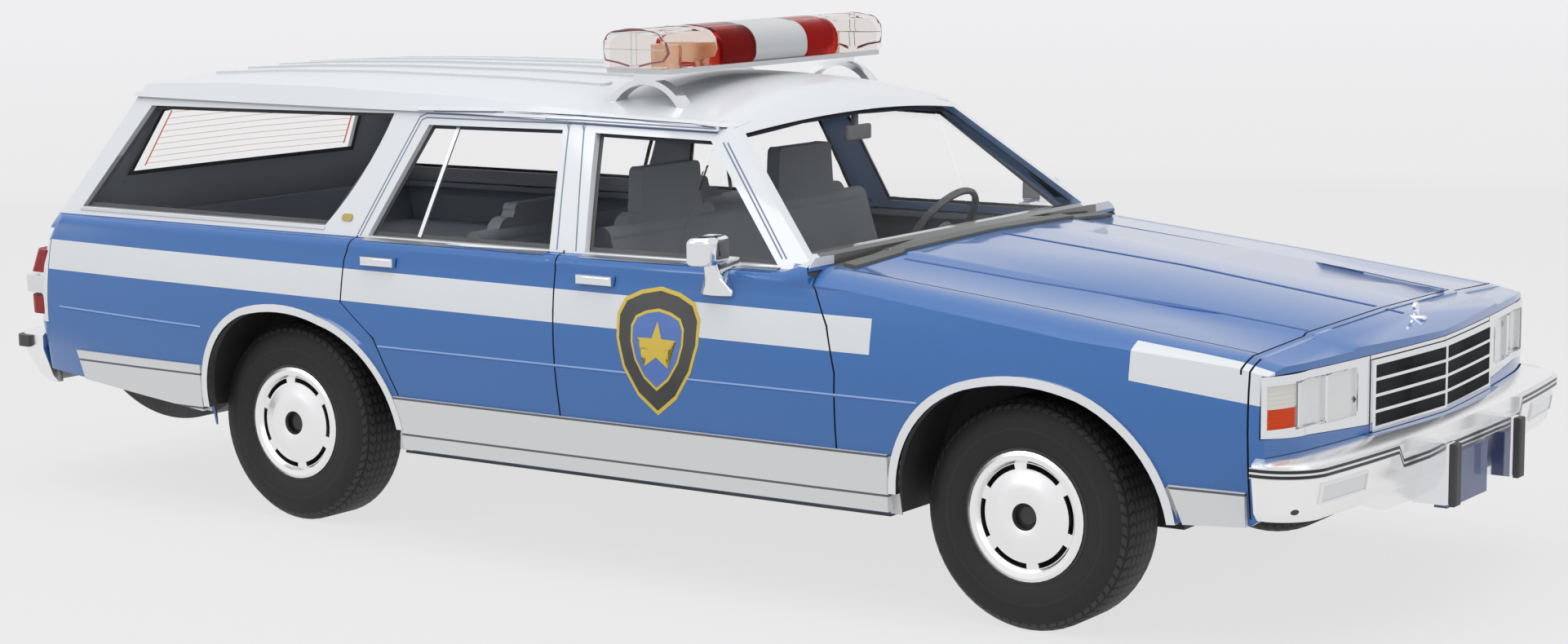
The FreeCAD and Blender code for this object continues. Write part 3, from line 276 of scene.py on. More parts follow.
def makeTyreRubber():
    # vulcanised rubber: matt black, cut into blocks on the tread with the grooves drawn pure black as
    # painted shade, and with a faint raised ring on the wall
    material, tree, shader = newMaterial("tyreRubber", {"Roughness": tyreValues["roughness"]})
    v = tyreValues
    x, y, z, place = placeInMm(tree)
    fromMiddle = addNode(tree, "Math", "SUBTRACT", x, v["middleX"])
    eitherWay = addNode(tree, "Math", "ABSOLUTE", fromMiddle)
    along = addNode(tree, "Math", "SUBTRACT", eitherWay, v["axleX"])
    up = addNode(tree, "Math", "SUBTRACT", z, v["axleZ"])
    spoke = addNode(tree, "CombineXYZ", {"X": along, "Y": up})
    radius = addNode(tree, "VectorMath", "LENGTH", spoke)
    turn = addNode(tree, "Math", "ARCTAN2", up, along)
    sideways = addNode(tree, "Math", "MULTIPLY", y, 2 * math.pi / v["grooveStep"])
    across = addNode(tree, "Math", "SINE", sideways)
    swing = addNode(tree, "Math", "MULTIPLY", across, v["skew"])
    onward = addNode(tree, "Math", "MULTIPLY_ADD", turn, v["blocks"], swing)
    around = addNode(tree, "Math", "SINE", onward)
    cut = inBoxes(tree, (across, around, radius), v["cuts"])
    onTread = inBoxes(tree, (radius,), v["treadAt"])
    onRing = inBoxes(tree, (radius,), v["ringAt"])
    colour = v["wall"]
    for patch, above in ((onRing, v["ring"]), (onTread, v["tread"]), (cut, v["groove"])):
        colour = addNode(tree, "Mix", {"data_type": "RGBA"}, patch, colour, above)
    setInput(tree, shader.inputs["Base Color"], colour)
    grain = addNode(tree, "TexNoise", {"Scale": 2.4, "Detail": 3.0, "Vector": place})
    ringHigh = addNode(tree, "Math", "MULTIPLY", onRing, v["ringRise"])
    carved = addNode(tree, "Math", "SUBTRACT", ringHigh, cut)
    height = addNode(tree, "Math", "MULTIPLY_ADD", grain, v["grainRise"], carved)
    raised = addNode(tree, "Bump", {"Distance": v["relief"] * mm, "Strength": 1.0, "Height": height})
    setInput(tree, shader.inputs["Normal"], raised)
    return material


cornerLensValues = {
    "amber": "C43A00",
    "clear": "CFCDC6",
    "clearAt": (((41.3, 60.0),),),   # mm, the heights where it is clear
    "flute": 0.7,                    # mm from flute to flute
    "depth": 0.03,
}


def makeCornerLens():
    # one acrylic moulding with a silvered back, clear above and amber below: flat colour, fine flutes
    material, tree, shader = newMaterial("cornerLens", {"Roughness": 0.4, "Specular IOR Level": 0.25})
    v = cornerLensValues
    z = placeInMm(tree)[2]
    upper = inBoxes(tree, (z,), v["clearAt"])
    colour = addNode(tree, "Mix", {"data_type": "RGBA"}, upper, v["amber"], v["clear"])
    setInput(tree, shader.inputs["Base Color"], colour)
    steps = addNode(tree, "Math", "MULTIPLY", z, 2 * math.pi / v["flute"])
    flutes = addNode(tree, "Math", "SINE", steps)
    raised = addNode(tree, "Bump", {"Distance": v["depth"] * mm, "Strength": 1.0, "Height": flutes})
    setInput(tree, shader.inputs["Normal"], raised)
    return material


stripValues = {
    "bright": "E4E5E7",
    "black": "161617",
    "middle": 32.05,         # mm, the height of the bright line at the ends
    "bands": (((0.17, 0.68),), ((-0.68, -0.17),)),   # mm, the black above and below it
    "dropFrom": 26.4,        # mm from the middle, where the strip starts to drop
    "dropRate": 0.62,
    "drop": 2.4,
}


def makeStripInsert():
    # moulded rubber with a plated line along its middle, which drops with the strip: black, bright, black
    material, tree, shader = newMaterial("stripInsert", {"Roughness": 0.25})
    v = stripValues
    x, y, z, place = placeInMm(tree)
    farOut = addNode(tree, "Math", "ABSOLUTE", y)
    inner = addNode(tree, "Math", "SUBTRACT", v["dropFrom"], farOut)
    share = addNode(tree, "Math", {"operation": "MULTIPLY", "use_clamp": True}, inner, v["dropRate"])
    lifted = addNode(tree, "Math", "MULTIPLY_ADD", share, v["drop"], z)
    level = addNode(tree, "Math", "SUBTRACT", lifted, v["middle"])
    dark = inBoxes(tree, (level,), v["bands"])
    colour = addNode(tree, "Mix", {"data_type": "RGBA"}, dark, v["bright"], v["black"])
    setInput(tree, shader.inputs["Base Color"], colour)
    setInput(tree, shader.inputs["Metallic"], addNode(tree, "Math", "SUBTRACT", 1.0, dark))
    return material


sillValues = {"silver": "CACBCC", "line": "4A5058", "linesAt": (((27.75, 28.15),), ((21.0, 21.4),))}   # mm


def makeSillTrim():
    # silver-grey enamel with two pressed lines, drawn darker as painted shade so that they show at this size
    material, tree, shader = newMaterial("silverGreyTrim", {"Roughness": 0.36, "Coat Weight": 0.4})
    v = sillValues
    x, y, z, place = placeInMm(tree)
    onLine = inBoxes(tree, (z,), v["linesAt"])
    colour = addNode(tree, "Mix", {"data_type": "RGBA"}, onLine, v["silver"], v["line"])
    setInput(tree, shader.inputs["Base Color"], colour)
    addGrain(tree, shader, place, 2.5, 0.006)
    return material


finish = {"livery": makeLivery(), "tyreRubber": makeTyreRubber(), "cornerLens": makeCornerLens(),
          "stripInsert": makeStripInsert(), "sillTrim": makeSillTrim()}
for name, row in platingValues.items():
    finish[name] = makePlating(name, *row)
for name, row in finishValues.items():
    finish[name] = makeFinish(name, *row)
for name, row in clearValues.items():
    finish[name] = makeClear(name, *row)
# painted light: the printed wires are given an emission, though they are no lamp
heaterShader = finish["heaterInkAndGlow"].node_tree.nodes["Principled BSDF"]
heaterShader.inputs["Emission Color"].default_value = toLinear(heaterPaintedGlow["colour"])
heaterShader.inputs["Emission Strength"].default_value = heaterPaintedGlow["strength"]
print("materials made")


# mesh helpers
def finishPiece(build, name, body, finishNames, smoothAngle=None):
    # turns a bmesh in mm into an object at the origin that rides on a body
    for vert in build.verts:
        vert.co *= mm
    bmesh.ops.recalc_face_normals(build, faces=build.faces)
    limit = math.radians(smoothAngle) if smoothAngle else 0.0
    for edge in build.edges:
        edge.smooth = len(edge.link_faces) == 2 and edge.calc_face_angle(math.pi) < limit
    for face in build.faces:
        face.smooth = smoothAngle is not None
    mesh = bpy.data.meshes.new(name)
    build.to_mesh(mesh)
    build.free()
    piece = bpy.data.objects.new(name, mesh)
    bpy.context.scene.collection.objects.link(piece)
    for finishName in finishNames:
        mesh.materials.append(finish[finishName])
    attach(piece, body)
    return piece


def smoothCopy(node, name, body, finishName, angle):
    # the CAD node with its face borders merged, so reflections run across them
    build = bmesh.new()
    build.from_mesh(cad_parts[node].data)
    bmesh.ops.remove_doubles(build, verts=build.verts, dist=0.002 * mm)
    bmesh.ops.dissolve_degenerate(build, edges=build.edges, dist=0.001 * mm)
    for vert in build.verts:
        vert.co /= mm
    piece = finishPiece(build, name, body, [finishName], angle)
    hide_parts(node)
    return piece


def toTree(*pieces):
    # the surface of one or more pieces in mm, for laying trim on it
    build = bmesh.new()
    for piece in pieces:
        build.from_mesh(piece.data)
    for vert in build.verts:
        vert.co /= mm
    tree = BVHTree.FromBMesh(build)
    build.free()
    return tree


def shadeFaces(piece, finishName, test):
    # a further finish for the faces whose middle (mm) and normal pass the test
    piece.data.materials.append(finish[finishName])
    index = len(piece.data.materials) - 1
    for face in piece.data.polygons:
        if test(face.center / mm, face.normal):
            face.material_index = index


# each view: a start point made of two numbers in mm, and the direction it looks in
views = {
    "right": (lambda a, b: Vector((a, -90.0, b)), Vector((0, 1, 0))),
    "left": (lambda a, b: Vector((a, 90.0, b)), Vector((0, -1, 0))),
    "front": (lambda a, b: Vector((200.0, a, b)), Vector((-1, 0, 0))),
    "rear": (lambda a, b: Vector((-200.0, a, b)), Vector((1, 0, 0))),
    "top": (lambda a, b: Vector((a, b, 150.0)), Vector((0, 0, -1))),
}


def addRibbon(sheet, place, path, width, shift=0.0, closed=False):
    # a flat strip along a path, mitred at its corners; shift moves it to the path's left
    points = [Vector(point) for point in path]
    count = len(points)
    lows, highs = [], []
    for index, point in enumerate(points):
        before = points[index - 1] if closed or index else point
        after = points[(index + 1) % count] if closed or index < count - 1 else point
        runs = [run.normalized() for run in (point - before, after - point) if run.length > 0]
        normal = sum((Vector((-run.y, run.x)) for run in runs), Vector((0, 0))).normalized()
        normal /= max(normal.dot(Vector((-runs[0].y, runs[0].x))), 0.4)
        lows.append(place(*(point + normal * (shift - width / 2))))
        highs.append(place(*(point + normal * (shift + width / 2))))
    verts = [sheet.verts.new(low) for low in lows]
    edges = [sheet.edges.new(pair) for pair in zip(verts, verts[1:])]
    if closed:
        edges.append(sheet.edges.new((verts[-1], verts[0])))
    made = bmesh.ops.extrude_edge_only(sheet, edges=edges)["geom"]
    for vert in made:
        if isinstance(vert, bmesh.types.BMVert):
            nearest = min(range(count), key=lambda index: (vert.co - lows[index]).length)
            vert.co = highs[nearest]


def layFlat(build, viewName, tree, ribbons=(), outlines=(), lift=0.0, thickness=0.12, pitch=2.0,
            materialIndex=0):
    # ribbons and outlined plates, cut up finely, dropped on a surface and given their thickness
    place, direction = views[viewName]
    sheet = bmesh.new()
    for ribbonValues in ribbons:
        addRibbon(sheet, place, **ribbonValues)
    for outline in outlines:
        sheet.faces.new([sheet.verts.new(place(a, b)) for a, b in outline])
    bmesh.ops.triangulate(sheet, faces=sheet.faces[:])
    for axis in range(3):
        if abs(direction[axis]) > 0.5:
            continue
        normal = Vector((axis == 0, axis == 1, axis == 2))
        heights = [vert.co[axis] for vert in sheet.verts]
        level = (math.floor(min(heights) / pitch) + 1) * pitch
        while level < max(heights):
            parts = sheet.verts[:] + sheet.edges[:] + sheet.faces[:]
            bmesh.ops.bisect_plane(sheet, geom=parts, plane_co=normal * level, plane_no=normal, dist=0.001)
            level += pitch
    for vert in sheet.verts:
        hit = tree.ray_cast(vert.co, direction)[0]
        if hit is None:
            hit = tree.find_nearest(vert.co + direction * 40.0)[0]   # past the surface's edge
        vert.co = hit - direction * lift
    made = bmesh.ops.extrude_face_region(sheet, geom=sheet.faces[:])["geom"]
    for vert in made:
        if isinstance(vert, bmesh.types.BMVert):
            vert.co -= direction * thickness
    for face in sheet.faces:
        face.material_index = materialIndex
    layer = bpy.data.meshes.new("layer")
    sheet.to_mesh(layer)
    sheet.free()
    build.from_mesh(layer)
    bpy.data.meshes.remove(layer)


def ribbon(path, width, shift=0.0, closed=False):
    return {"path": path, "width": width, "shift": shift, "closed": closed}


def addBlock(build, low, high, softened):
    # a block between two corners in mm, with rounded edges
    made = bmesh.ops.create_cube(build, size=1.0)["verts"]
    size = [b - a for a, b in zip(low, high)]
    middle = [(a + b) / 2 for a, b in zip(low, high)]
    bmesh.ops.scale(build, vec=size, verts=made)
    bmesh.ops.translate(build, vec=middle, verts=made)
    edges = list({edge for vert in made for edge in vert.link_edges})
    bmesh.ops.bevel(build, geom=edges, offset=softened, offset_type="OFFSET", segments=3, profile=0.5,
                    affect="EDGES", material=-1, clamp_overlap=True)


def dress(finishName, *nodes):
    for node in nodes:
        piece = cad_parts[node]
        if not piece.material_slots:
            piece.data.materials.append(finish[finishName])
        for place in piece.material_slots:
            place.material = finish[finishName]


# the CAD nodes
# columns: node, piece, slot, finish, smoothing angle in degrees
copyTable = (
    ("windscreen", "windscreenPane", "glass", "clearPane", 30),
    ("tailgate_glass", "tailgatePane", "glass", "clearPane", 30),
    ("side_glass_left", "sidePanesLeft", "glass", "clearPane", 30),
    ("side_glass_right", "sidePanesRight", "glass", "clearPane", 30),
    ("front_bumper", "frontBumper", "chrome", "softPlating", 34),
    ("rear_bumper", "rearBumper", "chrome", "softPlating", 34),
    ("headlamp_bezels", "headlampBezels", "chrome", "brightPlating", 34),
    ("tail_lamp_bezels", "tailLampBezels", "chrome", "brightPlating", 34),
    ("mirror_left", "mirrorLeft", "chrome", "brightPlating", 34),
    ("mirror_right", "mirrorRight", "chrome", "brightPlating", 34),
    ("arch_mouldings", "archMouldings", "chrome", "brightPlating", 34),
    ("bumper_guards", "bumperGuards", "chrome", "brightPlating", 34),
    ("light_bar_feet", "lightBarFeet", "chrome", "brightPlating", 34),
    ("door_handles", "doorHandles", "chrome", "brightPlating", 34),
    ("light_bar_clear_domes", "clearDomes", "lens_clear", "clearDome", 40),
    ("light_bar_red_domes", "redDomes", "lens_red", "redDome", 40),
    ("light_bar_speaker", "lightBarSpeaker", "trim_silver", "speakerGrey", 40),
    ("light_bar_base", "lightBarBase", "steel", "silverGreyPaint", 30),
)
bodyCopy = smoothCopy("body_shell", "bodyShell", "car", "livery", 30)
copies = {}
for node, name, slotName, finishName, angle in copyTable:
    copies[name] = smoothCopy(node, name, "car", finishName, angle)
for corner in corners:
    rider = "wheel_" + corner
    smoothCopy("wheel_cover_" + corner, "cover_" + corner, rider, "softPlating", 38)
    smoothCopy("tyre_" + corner, "tyreWall_" + corner, rider, "tyreRubber", 50)
    # the wheel behind its cover is drawn near black: painted shade in the hub's hole
    dress("hubAndArchShade", "wheel_" + corner)
dress("chassisPlastic", "base_plate", "fuel_tank")
dress("cowlPlastic", "cowl")
dress("blackenedSteel", "rear_axle", "front_axle", "exhaust")
dress("interiorPlastic", "interior_tub")
dress("dashPlastic", "dashboard")
dress("wheelPlastic", "steering_wheel")
dress("seatPlastic", "front_seat", "rear_seat")
dress("stripInsert", "front_bumper_strip")
dress("blackRubber", "rear_bumper_strip", "guard_pads")
dress("plateBlue", "front_plate", "rear_plate")
dress("flutedLampSilver", "headlamps", "reverse_lamps")
dress("cornerLens", "corner_lamps")
dress("redLens", "tail_lamps_red")
dress("sillTrim", "lower_trim")
dress("copperPlating", "light_bar_lamps")
print("frame dressed")

# the shell's cut lines, its lining and the returned edges of the arches, all in mm
shellValues = {
    "seamHalf": 0.21,
    # the doors' and the nose's cuts, as x, z points
    "sideSeams": (((49.9, 58.0), (54.9, 48.5), (56.9, 41.0), (57.0, 17.0)),
                  ((-4.6, 58.0), (-2.5, 30.0), (-2.1, 17.0)),
                  ((-54.0, 58.0), (-55.2, 53.0), (-55.1, 45.0), (-46.6, 38.8), (-41.1, 28.4)),
                  ((131.4, 52.0), (131.7, 24.0))),
    "flankFrom": 40.0,
    "sideSeamTop": 58.4,
    "bonnetRear": 54.6,
    "bonnetFront": 130.0,
    "bonnetSide": 46.6,
    "bonnetLow": 40.0,
    "bonnetLipLow": 46.3,
    "tailFace": -131.6,
    "tailSide": 42.4,
    "tailSill": 33.17,
    "tailSillEnd": 42.6,
    "tailLow": 32.8,
    "tailTop": 58.0,
    "liningFront": 60.0,
    "liningLow": 30.0,
    "liningSideFrom": 30.0,
    "liningRoofFrom": 77.0,
    "liningTail": -125.0,
    "liningTailHalf": 50.0,
    "cargoFrom": -50.0,
    "archReach": 37.0,
    "archTop": 43.5,
    "roofFrom": 80.5,
}


def awayFrom(x, z, path):
    # the distance of a side point from a path of x, z points
    least = 1000.0
    for (x0, z0), (x1, z1) in zip(path, path[1:]):
        run = Vector((x1 - x0, z1 - z0))
        reach = max(0.0, min(1.0, Vector((x - x0, z - z0)).dot(run) / run.length_squared))
        least = min(least, (Vector((x, z)) - Vector((x0, z0)) - run * reach).length)
    return least


def inSeam(middle, normal):
    # the doors' cuts, the bonnet's front and side cuts, and the tailgate's
    v = shellValues
    half = v["seamHalf"]
    x, y, z = middle.x, abs(middle.y), middle.z
    onFlank = y > v["flankFrom"] and z < v["sideSeamTop"]
    if onFlank and any(awayFrom(x, z, path) < half for path in v["sideSeams"]):
        return True
    if z > v["bonnetLipLow"] and abs(x - v["bonnetFront"]) < half:
        return True
    onBonnet = v["bonnetRear"] < x < v["bonnetFront"] and z > v["bonnetLow"]
    if onBonnet and abs(y - v["bonnetSide"]) < half:
        return True
    onTail = x < v["tailFace"] and v["tailLow"] < z < v["tailTop"]
    alongSide = abs(y - v["tailSide"]) < half
    alongSill = y < v["tailSillEnd"] and abs(z - v["tailSill"]) < half
    return onTail and (alongSide or alongSill)


def inLining(middle, normal):
    # the faces that look inwards above the belt
    v = shellValues
    x, y, z = middle
    if x > v["liningFront"] or z < v["liningLow"] or inSeam(middle, normal):
        return False
    inwardSide = abs(y) > v["liningSideFrom"] and normal.y * math.copysign(1, y) < -0.4
    inwardRoof = z > v["liningRoofFrom"] and normal.z < -0.5
    inwardTail = x < v["liningTail"] and normal.x > 0.5 and abs(y) < v["liningTailHalf"]
    return inwardSide or inwardRoof or inwardTail


def inArch(middle, normal):
    # the returned edge of a wheel arch faces its axle
    v = shellValues
    for sign in (-1, 1):
        axleX = tyreValues["middleX"] + sign * tyreValues["axleX"]
        toAxle = Vector((axleX - middle.x, 0.0, tyreValues["axleZ"] - middle.z))
        near = toAxle.length < v["archReach"] and middle.z < v["archTop"]
        if near and abs(normal.y) < 0.5 and normal.dot(toAxle) > 0.35 * toAxle.length:
            return True
    return False


def onRoof(middle, normal):
    return middle.z > shellValues["roofFrom"] and normal.z > 0.8


def inCargo(middle, normal):
    return middle.x < shellValues["cargoFrom"] and inLining(middle, normal)


# a later finish covers an earlier one
shadeFaces(bodyCopy, "whiteRoofEnamel", onRoof)
shadeFaces(bodyCopy, "liningPlastic", inLining)
shadeFaces(bodyCopy, "cargoPlastic", inCargo)
shadeFaces(bodyCopy, "seamShade", inSeam)
# painted shade: the arches' returned edges are drawn near black
shadeFaces(bodyCopy, "hubAndArchShade", inArch)
bodyTree = toTree(bodyCopy)
print("body shaded")

# bright bars over a dark screen; the bars' faces bow forwards in the middle
grilleValues = {"front": 141.4, "bow": 2.4, "half": 25.0, "barDepth": 1.4}   # mm


def grilleFrontAt(y):
    return grilleValues["front"] - grilleValues["bow"] * (y / grilleValues["half"]) ** 2


def inGrilleBack(middle, normal):
    return normal.x > 0.3 and middle.x < grilleFrontAt(middle.y) - grilleValues["barDepth"]


grilleCopy = smoothCopy("grille", "grilleBars", "car", "brightPlating", 30)
shadeFaces(grilleCopy, "grilleShade", inGrilleBack)

# side windows: all paths are x, z points in mm, and the widths are in mm
windowValues = {
    # each opening from its lower rear corner over the top
    "openings": (((-131.0, 58.6), (-119.0, 78.9), (-52.2, 79.7), (-54.8, 72.0), (-63.0, 58.6)),
                 ((-51.6, 57.3), (-43.1, 77.9), (-12.1, 78.0), (-7.9, 57.3)),
                 ((0.1, 57.3), (-4.8, 77.7), (19.8, 77.1), (41.4, 57.5))),
    "gasketWidth": 0.75,
    "gasketInset": 0.4,
    "frame": ((-54.2, 57.5), (-45.7, 79.3), (-44.2, 79.95), (-8.5, 79.9), (20.6, 79.2)),
    "frameStep": 0.75,
    "pillars": (((-11.2, 79.8), (-6.2, 57.4)), ((-7.9, 79.8), (-1.9, 57.4)), ((22.4, 76.9), (41.9, 58.6)),
                ((23.3, 76.9), (42.8, 58.6))),
    "hairWidth": 0.24,
    "rail": ((-46.0, 80.9), (-25.7, 81.3), (-8.5, 81.1), (15.0, 80.3), (23.0, 79.8)),
    "railWidth": 0.7,
    "railHigh": 0.45,
    "railShade": 0.25,
    "railShadeShift": -0.5,
    "sills": (((-131.3, 58.15), (-62.9, 58.15)), ((-51.9, 56.85), (-7.8, 56.85)),
              ((0.2, 56.85), (42.0, 57.0))),
    "sillWidth": 0.5,
    "vent": ((-36.9, 77.7), (-39.9, 57.6)),
    "ventWidth": 0.85,
    "plaque": ((-59.0, 60.0), (-58.6, 59.7), (-56.8, 59.7), (-56.4, 60.0), (-56.4, 60.7), (-56.8, 61.0),
               (-58.6, 61.0), (-59.0, 60.7)),
}


def makeWindowTrim(sideName, viewName):
    v = windowValues
    panes = copies["sidePanes" + sideName]
    build = bmesh.new()
    rings = [ribbon(path, v["gasketWidth"], -v["gasketInset"], True) for path in v["openings"]]
    # the windscreen wraps round and closes the front corner of the door window
    layFlat(build, viewName, toTree(panes, copies["windscreenPane"]), rings)
    finishPiece(build, "windowGaskets" + sideName, "car", ["gasketRubber"], 40)
    build = bmesh.new()
    layFlat(build, viewName, toTree(panes), [ribbon(v["vent"], v["ventWidth"])], thickness=0.35)
    layFlat(build, viewName, bodyTree, [ribbon(path, v["sillWidth"]) for path in v["sills"]], thickness=0.2)
    finishPiece(build, "windowBright" + sideName, "car", ["satinPlating"], 40)
    build = bmesh.new()
    hairs = [ribbon(v["frame"], v["hairWidth"]), ribbon(v["frame"], v["hairWidth"], -v["frameStep"])]
    hairs += [ribbon(path, v["hairWidth"]) for path in v["pillars"]]
    layFlat(build, viewName, bodyTree, hairs, thickness=0.04)
    finishPiece(build, "doorFrameLines" + sideName, "car", ["hairlineAndRailShadow"], 40)
    build = bmesh.new()
    layFlat(build, viewName, bodyTree, [ribbon(v["rail"], v["railWidth"])], thickness=v["railHigh"])
    # painted shadow: a blue-grey strip just below the rail
    shade = ribbon(v["rail"], v["railShade"], v["railShadeShift"])
    layFlat(build, viewName, bodyTree, [shade], thickness=0.05, materialIndex=1)
    finishPiece(build, "dripRail" + sideName, "car", ["whiteTrim", "hairlineAndRailShadow"], 40)
    build = bmesh.new()
    layFlat(build, viewName, bodyTree, outlines=[v["plaque"]], thickness=0.2)
    finishPiece(build, "pillarPlaque" + sideName, "car", ["plaqueGilt"], 40)


for sideName, viewName, sign in bothSides:
    makeWindowTrim(sideName, viewName)
print("window trim made")

# painted highlight and shade strips along the pressed lines of the sides as x, z points, painted shade along
# the bonnet's creases as x, y points, and a filler over the stray cut behind the nose
creaseValues = {
    "sides": (((-45.5, 37.45), (73.0, 37.45)), ((-134.0, 38.4), (-92.5, 37.5))),
    "lightWidth": 0.3,
    "shadeWidth": 0.22,
    "shadeShift": -0.3,
    "bonnetMiddle": ((56.5, 0.0), (134.0, 0.0)),
    "bonnetOuter": ((56.5, 33.0), (80.0, 32.2), (100.0, 30.4), (120.0, 28.4), (129.6, 28.0)),
    "bonnetWidth": 0.8,
    "fillerX": 131.42,
    "fillerHalf": 48.6,
    "fillerWidth": 0.7,
}
for sideName, viewName, sign in bothSides:
    v = creaseValues
    build = bmesh.new()
    # painted highlight: a lighter strip on each pressed line, with a painted shade strip just below it
    lights = [ribbon(path, v["lightWidth"]) for path in v["sides"]]
    shades = [ribbon(path, v["shadeWidth"], v["shadeShift"]) for path in v["sides"]]
    layFlat(build, viewName, bodyTree, lights, thickness=0.05)
    layFlat(build, viewName, bodyTree, shades, thickness=0.02, materialIndex=1)
    finishPiece(build, "sideCreaseLightAndShade" + sideName, "car", ["creaseLight", "bonnetShade"], 40)
# painted shade: dark strips along the bonnet's middle and its two outer creases
bonnetPaths = [creaseValues["bonnetMiddle"]]
for sign in (-1, 1):
    bonnetPaths.append([(x, sign * y) for x, y in creaseValues["bonnetOuter"]])
creases = [ribbon(path, creaseValues["bonnetWidth"]) for path in bonnetPaths]
build = bmesh.new()
layFlat(build, "top", bodyTree, creases, lift=0.02, thickness=0.06, pitch=1.0)
finishPiece(build, "bonnetCreaseShades", "car", ["bonnetShade"], 40)
fillerPath = [(creaseValues["fillerX"], sign * creaseValues["fillerHalf"]) for sign in (-1, 1)]
build = bmesh.new()
layFlat(build, "top", bodyTree, [ribbon(fillerPath, creaseValues["fillerWidth"])], thickness=0.03, pitch=2.2)
finishPiece(build, "noseFiller", "car", ["livery"], 40)

# a plain shield with a star on each front door
shieldValues = {
    "middle": (19.8, 42.5),
    "outline": ((0.0, 10.4), (4.2, 9.6), (7.6, 8.1), (9.0, 5.4), (8.9, 1.0), (7.4, -4.0), (4.2, -8.9),
                (0.0, -12.1), (-4.2, -8.9), (-7.4, -4.0), (-8.9, 1.0), (-9.0, 5.4), (-7.6, 8.1),
                (-4.2, 9.6)),
    # columns: share of the full size, material
    "layers": ((1.0, 0), (0.93, 1), (0.64, 0), (0.59, 2)),
    "layerStep": 0.04,
    "starOuter": 4.4,
    "starInner": 1.8,
    "starLift": 0.18,
}


def makeDoorShield(sideName, viewName):
    v = shieldValues
    midX, midZ = v["middle"]
    build = bmesh.new()
    for number, (share, material) in enumerate(v["layers"]):
        outline = [(midX + share * a, midZ + share * b) for a, b in v["outline"]]
        layFlat(build, viewName, bodyTree, outlines=[outline], lift=v["layerStep"] * number, thickness=0.06,
                pitch=1.5, materialIndex=material)
    star = []
    for number in range(10):
        radius = v["starInner"] if number % 2 else v["starOuter"]
        turn = math.pi / 2 - number * math.pi / 5
        star.append((midX + radius * math.cos(turn), midZ + radius * math.sin(turn)))
    layFlat(build, viewName, bodyTree, outlines=[star], lift=v["starLift"], thickness=0.06, pitch=1.5)
    finishPiece(build, "doorShield" + sideName, "car",
                ["goldEnamel", "blackEnamel", "shieldBlue"])


for sideName, viewName, sign in bothSides:
    makeDoorShield(sideName, viewName)
print("door shields made")

# windscreen and tailgate rubbers as y, z points from the left foot over the top, and the heater's wires
screenValues = {
    "front": ((-46.6, 60.0), (-44.0, 64.6), (-36.4, 76.6), (-34.6, 78.0), (-18.0, 79.5), (0.0, 80.0),
              (18.0, 79.5), (34.6, 78.0), (36.4, 76.6), (44.0, 64.6), (46.6, 60.0)),
    "frontWidth": 0.7,
    "frontShift": -0.3,
    "rear": ((-33.4, 63.8), (-30.5, 77.2), (-16.0, 78.6), (0.0, 79.1), (16.0, 78.6), (30.5, 77.2),
             (33.4, 63.8)),
    "rearWidth": 0.9,
    "high": 0.15,
}
heaterValues = {
    "wires": 9,
    "low": 65.6,
    "step": 1.35,
    "wireReach": 29.8,     # from the middle, at the lowest wire
    "barReach": 30.0,
    "taper": 0.18,
    "sag": 0.3,
    "past": 0.4,           # the bars run this far past the wires
    "wire": 0.09,
    "bar": 0.45,
}
screenTree = toTree(copies["windscreenPane"])
build = bmesh.new()
frontRubber = ribbon(screenValues["front"], screenValues["frontWidth"], screenValues["frontShift"])
layFlat(build, "front", screenTree, [frontRubber], thickness=screenValues["high"])
finishPiece(build, "windscreenRubber", "car", ["gasketRubber"], 40)
tailTree = toTree(copies["tailgatePane"])
build = bmesh.new()
rearRubber = ribbon(screenValues["rear"], screenValues["rearWidth"], 0.0, True)
layFlat(build, "rear", tailTree, [rearRubber], thickness=screenValues["high"])
finishPiece(build, "tailgateRubber", "car", ["gasketRubber"], 40)


def makeHeaterWires():
    v = heaterValues
    lines = []
    for number in range(v["wires"]):
        rise = number * v["step"]
        level = v["low"] + rise
        reach = v["wireReach"] - v["taper"] * rise
        lines.append(ribbon(((-reach, level), (0.0, level + v["sag"]), (reach, level)), v["wire"]))
    rise = (v["wires"] - 1) * v["step"]
    for side in (-1, 1):
        foot = (side * v["barReach"], v["low"] - v["past"])
        head = (side * (v["barReach"] - v["taper"] * rise), v["low"] + rise + v["past"])
        lines.append(ribbon((foot, head), v["bar"]))
    build = bmesh.new()
    layFlat(build, "rear", tailTree, lines, lift=0.01, thickness=0.03)
    finishPiece(build, "heaterWires", "car", ["heaterInkAndGlow"], 40)


makeHeaterWires()
print("screen trim made")

# bumper lamps and screws, and the lenses' edges, as y, z points in mm for the left side
noseValues = {
    "lamp": ((35.2, 27.0), (48.6, 27.0), (48.6, 29.9), (35.2, 29.9)),
    "lampFrame": 0.35,
    "lens": ((31.9, 37.7), (39.8, 37.7), (39.8, 45.1), (31.9, 45.1)),
    "outerLens": ((40.3, 37.9), (46.6, 37.9), (46.6, 45.1), (40.3, 45.1)),
    "lensEdge": 0.28,
    "slot": ((29.1, 38.0), (29.1, 44.2)),
    "slotWidth": 0.7,
    "screwAt": (52.0, 25.9),
    "screwRadius": 0.45,
}
bumperTree = toTree(copies["frontBumper"])
lampTree = toTree(copies["headlampBezels"])


